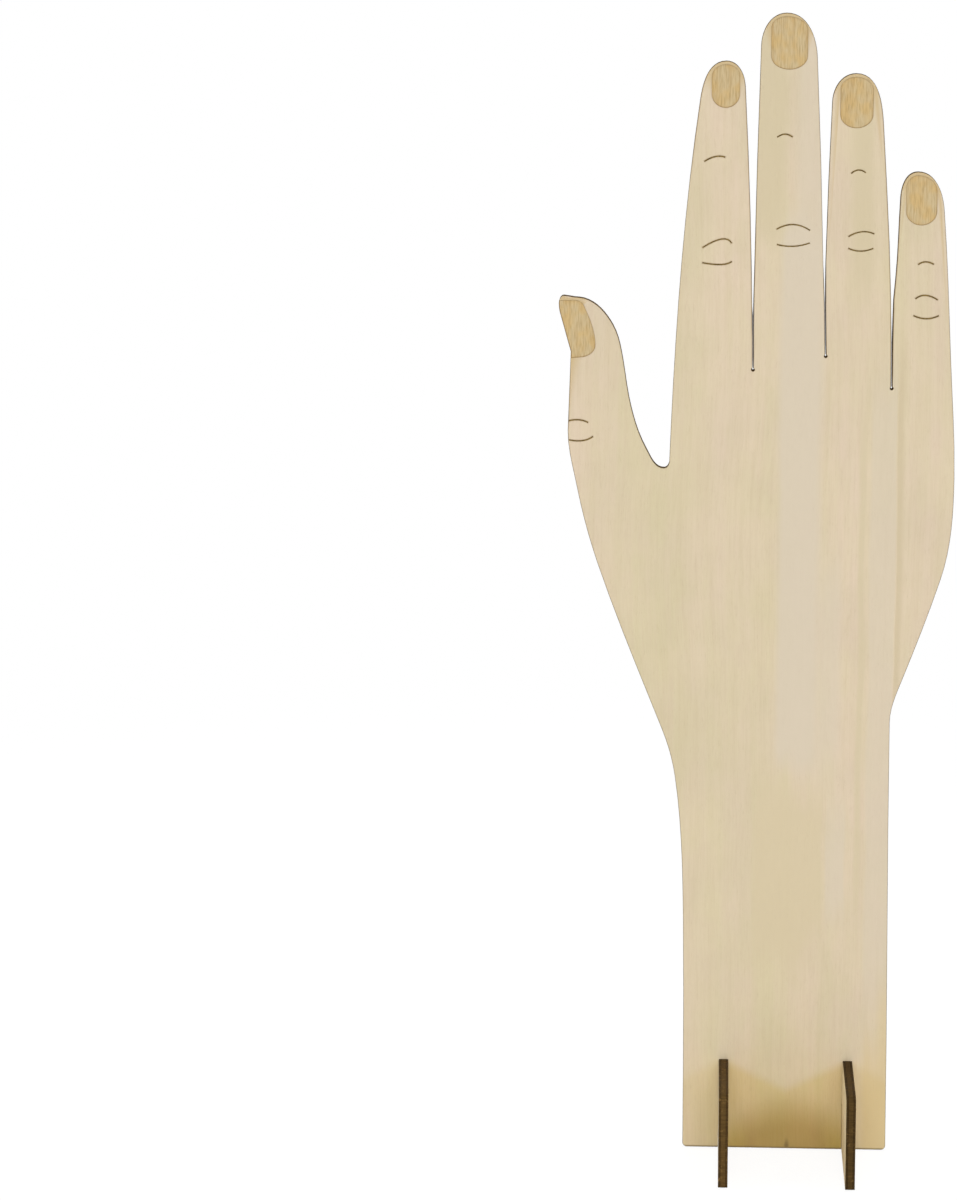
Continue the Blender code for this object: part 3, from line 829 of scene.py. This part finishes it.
def measure_cut(sheet, walls, vert):
    """The width of the cut at this corner, the way out of the wood, and whether it is a hole."""
    normals = [face.normal for face in vert.link_faces if sheet.full_wall(face)]
    gaps = []
    for normal in normals:
        start = vert.co + normal * NEARLY
        start[sheet.through] = sheet.middle
        gaps.append(walls.ray_cast(start, normal, WIDEST)[3] or WIDEST)
    in_hole = len(normals) == 2 and normals[0].angle(normals[1]) > HOLE_TURN
    return min(gaps, default=WIDEST), sum(normals, Vector()).normalized(), in_hole


hand_walls = BVHTree.FromBMesh(hand_sheet.mesh)
widths = [measure_cut(hand_sheet, hand_walls, vert)[0] for vert in hand_sheet.mesh.verts]
print("Corners beside a narrow cut:", sum(width < WIDEST for width in widths))

# %% [markdown]
# ## Slits that open towards the fingertips
#
# White shows a little further down between the fingers of the real hand than between those of
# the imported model. Moving whole walls would bend the fingers, so only the upper end of each slit
# opens, by a fifth of a millimetre at each side. A long straight wall has no corners there that
# could move, and is cut into short ones first.

# %% Opening the slits
SLIT = 0.35 * MM
LARGEST_SLIT = 1.1 * SLIT
OPEN_GAP = 1.2 * MM
OPEN_MORE = 0.2 * MM
OPEN_LENGTH = 14.0 * MM
DIVIDE_STEP = 3.0 * MM
ON_PLANE = 0.1 * NEARLY


def divide_wall(sheet, face, low, high):
    """Cuts one long wall into short ones, and returns the corners of all of them."""
    direction = Vector((0.0, 0.0, 0.0))
    direction[sheet.along] = 1.0
    parts = [face, *face.edges, *face.verts]
    count = int((high - low) / DIVIDE_STEP)
    for number in range(1, count):
        level = direction * (low + (high - low) * number / count)
        parts = bmesh.ops.bisect_plane(sheet.mesh, geom=parts, dist=ON_PLANE, plane_co=level,
                                       plane_no=direction)["geom"]
    return {part for part in parts if isinstance(part, bmesh.types.BMVert)}


def open_the_slits(sheet):
    """Widens each slit near its upper end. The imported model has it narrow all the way."""
    walls = BVHTree.FromBMesh(sheet.mesh)
    moves = {}
    for vert in sheet.mesh.verts:
        gap, out, in_hole = measure_cut(sheet, walls, vert)
        if gap < OPEN_GAP and not in_hole:
            moves[vert] = out * -OPEN_MORE * min(1.0, (OPEN_GAP - gap) / (OPEN_GAP - SLIT))
    slits = []
    for face in sheet.mesh.faces:
        heights = [vert.co[sheet.along] for vert in face.verts]
        low, high = min(heights), max(heights)
        if sheet.full_wall(face) and high - low > OPEN_LENGTH:
            start = face.calc_center_median() + face.normal * NEARLY
            if (walls.ray_cast(start, face.normal, WIDEST)[3] or WIDEST) < LARGEST_SLIT:
                slits.append((face, face.normal.copy(), low, high))
    for face, normal, low, high in slits:
        for vert in divide_wall(sheet, face, low, high):
            share = 1.0 - (high - vert.co[sheet.along]) / OPEN_LENGTH
            moves[vert] = normal * -OPEN_MORE * max(0.0, share)
    for vert, move in moves.items():
        vert.co += move
    sheet.mesh.normal_update()
    return len(slits)


print("Walls of slits opened:", open_the_slits(hand_sheet))

# %% [markdown]
# ## Cuts that narrow towards the back
#
# A laser beam loses strength in the wood, so a narrow cut is tighter at the back than in front.
# Seen through the slits, the burnt wall then shows instead of white. A slanted cutter could carve
# that out of the solid, but moving the back corners together gives the same shape with no seam.

# %% Narrowing the cuts
SLIT_GAP = 0.4 * MM
HOLE_GAP = 1.0 * MM
TAPER_FADE = 0.4 * MM
BACK_SHARE = 0.08
BACK_GAP = 0.02 * MM
MOST_TAPER = 0.25 * MM


def narrow_the_cuts(sheet):
    """Moves the back corners of slits and small holes together, as a laser beam leaves them."""
    walls = BVHTree.FromBMesh(sheet.mesh)
    moves = []
    for vert in sheet.mesh.verts:
        gap, out, in_hole = measure_cut(sheet, walls, vert)
        full = HOLE_GAP if in_hole else SLIT_GAP
        if sheet.depth(vert.co) > HALF_SHEET - NEARLY and gap < full + TAPER_FADE:
            share = min(1.0, (full + TAPER_FADE - gap) / TAPER_FADE)
            taper = share * (gap - BACK_SHARE * gap - BACK_GAP) / 2.0
            moves.append((vert, out * min(taper, MOST_TAPER)))
    for vert, move in moves:
        vert.co += move
    sheet.mesh.normal_update()
    return len(moves)


print("Corners moved together at the back of narrow cuts:", narrow_the_cuts(hand_sheet))

# %% [markdown]
# ## Slots that grip the feet
#
# The real feet sit tight in their slots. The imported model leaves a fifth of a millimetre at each
# side, so that its joints move freely, and that would show as a light gap. The feet keep their
# size, and the walls of the slots in the visible copy come closer.

# %% Closing the slots
SLOT_CLOSER = 0.14 * MM
SLOT_REACH = 0.4 * MM


def close_the_slots(sheet, foot_nodes):
    """Moves the slot walls towards the feet, and marks their corners."""
    in_slot = sheet.mesh.verts.layers.float["in_slot"]
    for node_name in foot_nodes:
        low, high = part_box(node_name)
        middle = (low[sheet.across] + high[sheet.across]) / 2.0
        reach = (high[sheet.across] - low[sheet.across]) / 2.0 + SLOT_REACH
        for vert in sheet.mesh.verts:
            aside = vert.co[sheet.across] - middle
            if abs(aside) < reach and vert.co[sheet.along] < high[sheet.along] - SLOT_REACH:
                vert.co[sheet.across] -= math.copysign(SLOT_CLOSER, aside)
                vert[in_slot] = 1.0
    return int(sum(vert[in_slot] for vert in sheet.mesh.verts))


closed = close_the_slots(hand_sheet, ("left_foot", "right_foot"))
print("Slot corners moved towards the feet:", closed)

# %% [markdown]
# ## Soft corners
#
# No cut corner stays perfectly sharp, and the thin light along a soft one is what makes an edge
# look real. A bevel in the shader would be lost in the exported model, so the mesh itself gets
# one, a tenth of a millimetre wide, in two steps.

# %% Softening the corners
CORNER = 0.10 * MM
CORNER_STEPS = 2
ROUND = 0.5


def soften_corners(sheet):
    """Rounds the edges between the faces and the full walls, but not in the slots."""
    in_slot = sheet.mesh.verts.layers.float["in_slot"]
    edges = []
    for edge in sheet.mesh.edges:
        if len(edge.link_faces) == 2 and not all(vert[in_slot] for vert in edge.verts):
            one, other = edge.link_faces
            if (sheet.flat(one) and sheet.full_wall(other)
                    or sheet.flat(other) and sheet.full_wall(one)):
                edges.append(edge)
    bmesh.ops.bevel(sheet.mesh, geom=edges, offset=CORNER, segments=CORNER_STEPS, profile=ROUND,
                    affect="EDGES", clamp_overlap=False)
    sheet.mesh.normal_update()
    return len(edges)


print("Softened edges:", soften_corners(hand_sheet))

# %% [markdown]
# ## Browned borders
#
# Smoke browns the face for a third of a millimetre beside each cut. Colour on the corners of the
# mesh can show that if a narrow ring of faces lies inside the border, and it stays exact however
# the border curves. Where two cuts come close the ring gets narrower, and wherever one of its
# faces would fold over, it is drawn back until none does.

# %% How wide the ring may be
HAZE_WIDTH = 0.35 * MM
FIRST_INSET = 0.01 * MM
FREE_SHARE = 0.97
NARROWER = 0.85
SAFE_SHARE = 0.9
EVEN_ROUNDS = 8
STEEPEST_CHANGE = 0.5


def find_widths(sheet, ring, borders):
    """Where each inner corner of the ring starts, which way it may go inwards, and how far."""
    found = {}
    for edge in {edge for face in ring for edge in face.edges}:
        outer = [vert for vert in edge.verts
                 if any(not sheet.flat(face) for face in vert.link_faces)]
        if len(outer) == 1:
            inner = edge.other_vert(outer[0])
            start = outer[0].co.copy()
            inward = (inner.co - start) / FIRST_INSET
            width = HAZE_WIDTH
            while (width > FIRST_INSET
                   and borders.find_nearest(start + inward * width)[3] < FREE_SHARE * width):
                width *= NARROWER
            found[inner] = [start, inward, SAFE_SHARE * width]
    for _ in range(EVEN_ROUNDS):
        for inner, facts in found.items():
            for edge in inner.link_edges:
                other = found.get(edge.other_vert(inner))
                if other:
                    facts[2] = min(facts[2], other[2] + STEEPEST_CHANGE * edge.calc_length())
    return found


print("The ring is at most", round(SAFE_SHARE * HAZE_WIDTH / MM, 3), "mm wide")

# %% Setting the ring in
DRAW_BACK = 0.7


def folded(face, normal):
    """Whether a face has got a corner that turns the wrong way."""
    corners = [vert.co for vert in face.verts]
    sides = [corner - corners[number - 1] for number, corner in enumerate(corners)]
    return any(side.cross(sides[(number + 1) % len(sides)]).dot(normal) < 0.0
               for number, side in enumerate(sides))


def border_the_faces(sheet, depths):
    """Sets a narrow ring of faces inside the border of every flat area at these depths."""
    corners = [vert.co.copy() for vert in sheet.mesh.verts]
    sheet.mesh.verts.index_update()
    sides = [[vert.index for vert in face.verts] for face in sheet.mesh.faces
             if not sheet.flat(face)]
    borders = BVHTree.FromPolygons(corners, sides)
    for depth in depths:
        faces = [face for face in sheet.mesh.faces if sheet.flat(face)
                 and abs(sheet.depth(face.verts[0].co) - depth) < NEARLY]
        ring = bmesh.ops.inset_region(sheet.mesh, faces=faces, thickness=FIRST_INSET, depth=0.0,
                                      use_boundary=True, use_even_offset=True)["faces"]
        facing = [(face, face.normal.copy()) for face in ring]
        found = find_widths(sheet, ring, borders)
        too_wide = found
        while too_wide:
            for inner, (start, inward, width) in found.items():
                inner.co = start + inward * width
            too_wide = {vert for face, normal in facing if folded(face, normal)
                        for vert in face.verts if vert in found and found[vert][2] > FIRST_INSET}
            for inner in too_wide:
                found[inner][2] *= DRAW_BACK
    sheet.mesh.normal_update()


border_the_faces(hand_sheet, (-HALF_SHEET, HALF_SHEET, nail_level))
print("With borders the hand has", len(hand_sheet.mesh.faces), "faces")

# %% [markdown]
# ## Glue lines
#
# The beam eats the glue a little deeper than the wood, which leaves two fine lines round every
# cut wall. A bump could draw them, but not where the wall is seen edge on. So rows of corners
# are cut into the walls at both lines, and the middle row of each is pressed in.

# %% Pressing the glue lines in
GLUE_DEPTH = 0.04 * MM
CLOSELY_ON_PLANE = 0.1 * ON_PLANE


def press_glue_lines(sheet):
    """Cuts rows into the walls at both glue lines, and presses the middle row in."""
    normal = Vector((0.0, 0.0, 0.0))
    normal[sheet.through] = 1.0
    for level in (-GLUE_JOINT, GLUE_JOINT):
        for aside in (-GLUE_LINE, 0.0, GLUE_LINE):
            geometry = sheet.mesh.verts[:] + sheet.mesh.edges[:] + sheet.mesh.faces[:]
            bmesh.ops.bisect_plane(sheet.mesh, geom=geometry, dist=CLOSELY_ON_PLANE,
                                   plane_co=normal * (sheet.middle + level + aside),
                                   plane_no=normal)
    sheet.mesh.normal_update()
    pressed = [vert for vert in sheet.mesh.verts
               if abs(abs(sheet.depth(vert.co)) - GLUE_JOINT) < ON_PLANE]
    moves = [vert.normal * -GLUE_DEPTH for vert in pressed]
    for vert, move in zip(pressed, moves):
        vert.co += move
    sheet.mesh.normal_update()
    return len(pressed)


print("Corners in the glue lines:", press_glue_lines(hand_sheet))

# %% [markdown]
# ## Telling the surfaces apart
#
# Each face of the copy gets the finish of what it is on the real piece. Its direction and its
# depth say enough: a flat area at the full depth is veneer, one a quarter of a millimetre down
# is a nail, one a little less deep is a knuckle line, and everything else is a burnt wall. This
# holds on every side of the piece, where painting faces by hand would have to be done again
# after each change.

# %% Naming the surfaces
VENEER, EDGE, NAIL, LINE = range(4)


def name_surfaces(sheet, nail_level=None):
    """Gives each face its material's number, and smooth or flat shading. Counts each kind."""
    counts = [0, 0, 0, 0]
    for face in sheet.mesh.faces:
        deepest = max(sheet.depth(vert.co) for vert in face.verts)
        kind = EDGE
        if sheet.flat(face) and abs(abs(deepest) - HALF_SHEET) < NEARLY:
            kind = VENEER
        elif nail_level is not None and abs(deepest - nail_level) < NEARLY:
            kind = NAIL
        elif nail_level is not None and CORNER + NEARLY - HALF_SHEET < deepest < nail_level:
            kind = LINE
        face.material_index = kind
        face.smooth = not sheet.flat(face)
        counts[kind] += 1
    return counts


print("Faces of veneer, wall, nail and line:", name_surfaces(hand_sheet, nail_level))

# %% [markdown]
# ## Golden rims above the nails
#
# On the real hand the nails reach almost to the fingertips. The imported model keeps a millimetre
# of veneer between them, so that the engraving has a wall all round. Cutting it away would change
# the piece, so the rim is marked here and gets the nails' gold in the material.

# %% Marking the rims
NAIL_RIM = 1.7 * MM


def mark_nail_rims(sheet):
    """Writes 1 on the narrow rims of veneer between a nail and the fingertip, and 0 elsewhere."""
    nail_rim = sheet.mesh.verts.layers.float["nail_rim"]
    front = [vert for vert in sheet.mesh.verts if abs(sheet.depth(vert.co) + HALF_SHEET) < NEARLY]
    edges = {EDGE: KDTree(len(front)), NAIL: KDTree(len(front))}
    for number, vert in enumerate(front):
        for kind in {face.material_index for face in vert.link_faces} & set(edges):
            edges[kind].insert(vert.co, number)
    for tree in edges.values():
        tree.balance()
    for vert in front:
        if all(tree.find(vert.co)[2] < NAIL_RIM for tree in edges.values()):
            vert[nail_rim] = 1.0
    return int(sum(vert[nail_rim] for vert in front))


print("Corners on golden rims:", mark_nail_rims(hand_sheet))

# %% [markdown]
# ## Marks that the materials read
#
# Two more things are written into the mesh: how browned each corner is, and where each face lies
# in its sheet of wood. Materials could work from the place in the room instead, but then the
# grain would stay behind when a foot slides. The back gets a place far away, because it is
# another sheet of veneer than the front.

# %% Scorch and the place in the sheet
EDGE_SCORCH = 1.0
SLOT_SCORCH = 0.25
LINE_SCORCH = 0.45
NAIL_SCORCH = 0.2
NAIL_WALL_SCORCH = 0.6
NAIL_WALL_TURN = 0.5
HAND_WOOD = Vector((0.0, 0.0, 0.0))
BACK_OFFSET = Vector((0.31, 0.0, 0.67))


def mark_scorch_and_place(sheet, offset):
    """Writes how browned each corner is, and where each face lies in its sheet of wood."""
    scorch = sheet.mesh.verts.layers.float.new("scorch")
    nail_rim = sheet.mesh.verts.layers.float["nail_rim"]
    in_slot = sheet.mesh.verts.layers.float["in_slot"]
    place = sheet.mesh.loops.layers.float_vector.new("sheet")
    for vert in sheet.mesh.verts:
        kinds = {face.material_index for face in vert.link_faces}
        rim = [face.normal[sheet.along] for face in vert.link_faces if not sheet.flat(face)]
        if kinds == {VENEER}:
            vert[scorch] = 0.0
        elif EDGE in kinds:
            vert[scorch] = SLOT_SCORCH if vert[in_slot] else EDGE_SCORCH
        elif VENEER in kinds:
            vert[scorch] = LINE_SCORCH if LINE in kinds else NAIL_SCORCH * (1.0 - vert[nail_rim])
        elif rim:
            turned = sum(rim) / len(rim)
            vert[scorch] = max(0.0, NAIL_WALL_SCORCH + NAIL_WALL_TURN * turned)
    for face in sheet.mesh.faces:
        back = face.material_index == VENEER and sheet.depth(face.verts[0].co) > 0.0
        for loop in face.loops:
            co = loop.vert.co
            spot = Vector((co[sheet.across], sheet.depth(co), co[sheet.along])) + offset
            loop[place] = spot + BACK_OFFSET if back else spot


mark_scorch_and_place(hand_sheet, HAND_WOOD)
print("Marks on the corners:", hand_sheet.mesh.verts.layers.float.keys())

# %% [markdown]
# ## The hand
#
# All steps have now been taken on the copy of the hand, and their order mattered: the bevel needs
# whole walls, and the glue lines would have cut them up before. What is left is to make an object
# of it. It rides on the body "hand" and is shown in place of the CAD piece "hand_panel".

# %% Make the hand
SHARP_ANGLE = math.radians(35.0)


def make_piece(sheet, name, materials):
    """Turns the finished copy into an object with its materials."""
    mesh = bpy.data.meshes.new(name)
    sheet.mesh.to_mesh(mesh)
    sheet.mesh.free()
    mesh.set_sharp_from_angle(angle=SHARP_ANGLE)
    piece = bpy.data.objects.new(name, mesh)
    bpy.context.scene.collection.objects.link(piece)
    for material in materials:
        mesh.materials.append(material)
    print("The piece", name, "has", len(mesh.polygons), "faces")
    return piece


display_hand = make_piece(hand_sheet, "display_hand",
                          (hand_veneer, laser_burnt_edge, engraved_nail, burnt_knuckle_line))
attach(display_hand, "hand")
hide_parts("hand_panel")

# %% [markdown]
# ## The feet
#
# Both feet are the same small plate, with a slot that straddles the hand. They stand across it,
# so their depth is X and their grain runs along Y. They need fewer steps than the hand, because
# they have no narrow cuts and no engraving. Each gets its own stretch of veneer, and rides on its
# own body, because a foot can be pulled down out of the hand.

# %% Build both feet
LEFT_FOOT_WOOD = Vector((0.9, 0.0, 0.4))
RIGHT_FOOT_WOOD = Vector((1.3, 0.0, 0.8))


def build_foot(node_name, piece_name, edge, offset):
    """One foot, from the CAD piece to the finished object."""
    sheet = Sheet(node_name, through=X_AXIS, along=Y_AXIS)
    join_corners(sheet)
    soften_corners(sheet)
    border_the_faces(sheet, (-HALF_SHEET, HALF_SHEET))
    press_glue_lines(sheet)
    name_surfaces(sheet)
    mark_scorch_and_place(sheet, offset)
    foot = make_piece(sheet, piece_name, (foot_veneer, edge))
    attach(foot, node_name)
    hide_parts(node_name)


build_foot("left_foot", "left_cross_foot", laser_burnt_edge, LEFT_FOOT_WOOD)
build_foot("right_foot", "right_cross_foot", darker_burnt_edge, RIGHT_FOOT_WOOD)

# %% [markdown]
# ## Light
#
# The main softbox stands near the camera. Two weaker ones stand far round at the sides: they
# light the cut walls and the feet, which keep their light off the wood between them, up to a soft
# arch. A fourth one behind, which this view hardly shows, keeps the back from going dull. A
# picture of a studio could light the scene too, but lamps of a known size can be moved one by
# one until a colour comes out of the render about as it was written.

# %% Softboxes
LAMP_AIM = Vector((0.0, 0.0, 0.08))
LAMP_DISTANCE = 2.2
LAMP_SIZE = 1.0

# Name, azimuth and elevation in degrees, and watts. Azimuth 0 is in front of the hand.
SOFTBOXES = (("left_softbox", -75.0, 25.0, 8.7), ("right_softbox", 70.0, 25.0, 8.0),
             ("front_softbox", 0.5, 20.0, 17.0), ("back_softbox", 180.0, 35.0, 9.0))


def make_softbox(name, azimuth, elevation, watts):
    """A square lamp that looks at the lower part of the hand."""
    turn = math.radians(azimuth)
    rise = math.radians(elevation)
    away = Vector((math.sin(turn) * math.cos(rise), -math.cos(turn) * math.cos(rise),
                   math.sin(rise)))
    data = bpy.data.lights.new(name, "AREA")
    data.shape = "SQUARE"
    data.size = LAMP_SIZE
    data.energy = watts
    lamp = bpy.data.objects.new(name, data)
    lamp.location = LAMP_AIM + away * LAMP_DISTANCE
    lamp.rotation_euler = away.to_track_quat("Z", "Y").to_euler()
    bpy.context.scene.collection.objects.link(lamp)


for softbox in SOFTBOXES:
    make_softbox(*softbox)
print("The softboxes give", sum(softbox[-1] for softbox in SOFTBOXES), "watts together")

# %% [markdown]
# ## The air around
#
# The world adds even light from everywhere, as the white walls of a studio do. It should look
# pure white, but white air would light the wood too strongly. The Light Path node tells the two
# apart: the camera, gloss and glass see white, and everything else gets weaker light.

# %% The world
AIR_LIGHT = 0.47


def seen_directly(tree):
    """1 for what is seen directly, in gloss or through glass, and 0 for the light on things."""
    path = add_node(tree, "ShaderNodeLightPath").outputs
    gloss = calculate(tree, "MAXIMUM", path["Is Glossy Ray"], path["Is Transmission Ray"])
    return calculate(tree, "MAXIMUM", path["Is Camera Ray"], gloss)


def make_world():
    """White to look at, and a weaker even light for everything in it."""
    world = bpy.data.worlds.new("studio_air")
    tree = empty_tree(world)
    strength = fade(tree, seen_directly(tree), 0.0, 1.0, AIR_LIGHT, 1.0)
    air = add_node(tree, "ShaderNodeBackground",
                   {"Color": (1.0, 1.0, 1.0, 1.0), "Strength": strength})
    add_node(tree, "ShaderNodeOutputWorld", {"Surface": air.outputs["Background"]})
    bpy.context.scene.world = world


make_world()
print("The air's light on things is", AIR_LIGHT)

# %% [markdown]
# ## The floor
#
# The photograph's floor has been turned pure white. Here it is a pale round board just under the
# feet that fades out to the white air, so that no border shows. It is real to the light: it
# reflects some, and takes the shadow of the hand. To the camera it is four fifths clear, so the
# shadow stays faint, and a foot that has been pulled down out of the hand can still be seen. From
# below it is wholly clear, or such a foot would get no light back from under the board.

# %% A pale floor that keeps the shadow
FLOOR_DROP = 0.3 * MM
FLOOR_RADIUS = 0.75
FLOOR_SIDES = 96
FADE_START, FADE_END = 0.3 * FLOOR_RADIUS, 0.95 * FLOOR_RADIUS
FLOOR_CLEAR = 0.80
FLOOR_GLOW = 0.46
PALE_FLOOR = (0.90, 0.89, 0.87, 1.0)
WHITE_FLOOR = (0.86, 0.86, 0.86, 1.0)
SPECKLE_SCALE = 900.0
SPECKLE_DETAIL = 2.0
SPECKLE_SHARE = 0.05


def mix_shaders(tree, share, first, second):
    """The first shader where the share is 0, the second where it is 1."""
    return add_node(tree, "ShaderNodeMixShader", {0: share, 1: first, 2: second}).outputs["Shader"]


def make_floor_material():
    """Matt and pale to the light, mostly clear to the camera, and wholly clear from below."""
    material = bpy.data.materials.new("pale_floor")
    tree = empty_tree(material)
    centre = add_node(tree, "ShaderNodeTexCoord").outputs["Object"]
    distance = move_or_stretch(tree, "LENGTH", centre).outputs["Value"]
    clear = fade(tree, distance, FADE_START, FADE_END, FLOOR_CLEAR, 1.0)
    speckle = add_node(tree, "ShaderNodeTexNoise",
                       {"Scale": SPECKLE_SCALE, "Detail": SPECKLE_DETAIL})
    share = fade(tree, speckle.outputs["Fac"], *NOISE_RANGE, 0.0, SPECKLE_SHARE)
    tint = mix_colours(tree, share, WHITE_FLOOR, PALE_FLOOR)
    matt = add_node(tree, "ShaderNodeBsdfDiffuse", {"Color": tint}).outputs["BSDF"]
    glow = add_node(tree, "ShaderNodeEmission", {"Strength": FLOOR_GLOW}).outputs["Emission"]
    lit = add_node(tree, "ShaderNodeAddShader", {0: matt, 1: glow}).outputs["Shader"]
    glass = add_node(tree, "ShaderNodeBsdfTransparent").outputs["BSDF"]
    plain = add_node(tree, "ShaderNodeBsdfDiffuse", {"Color": PALE_FLOOR}).outputs["BSDF"]
    camera_ray = add_node(tree, "ShaderNodeLightPath").outputs["Is Camera Ray"]
    from_above = mix_shaders(tree, camera_ray, plain, mix_shaders(tree, clear, lit, glass))
    from_below = add_node(tree, "ShaderNodeNewGeometry").outputs["Backfacing"]
    board = mix_shaders(tree, from_below, from_above, glass)
    add_node(tree, "ShaderNodeOutputMaterial", {"Surface": board})
    return material


def make_floor():
    """A round board just under the feet."""
    board = bmesh.new()
    bmesh.ops.create_circle(board, cap_ends=True, segments=FLOOR_SIDES, radius=FLOOR_RADIUS)
    mesh = bpy.data.meshes.new("floor")
    board.to_mesh(mesh)
    board.free()
    mesh.materials.append(make_floor_material())
    floor = bpy.data.objects.new("floor", mesh)
    floor.location = (0.0, 0.0, -FLOOR_DROP)
    bpy.context.scene.collection.objects.link(floor)
    floor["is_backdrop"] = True


make_floor()
bpy.context.scene.view_settings.view_transform = "Standard"
print("The floor is", 2.0 * FLOOR_RADIUS, "m across")

# %% [markdown]
# ## Check and finish
#
# The looks must not change the size of the object.

# %% Compare the sizes and finish
finished_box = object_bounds()
for label, box in (("packed", cad_box), ("finished", finished_box)):
    low, high = box
    print(label, "size in mm:", [round((high[i] - low[i]) / MM, 2) for i in range(3)])
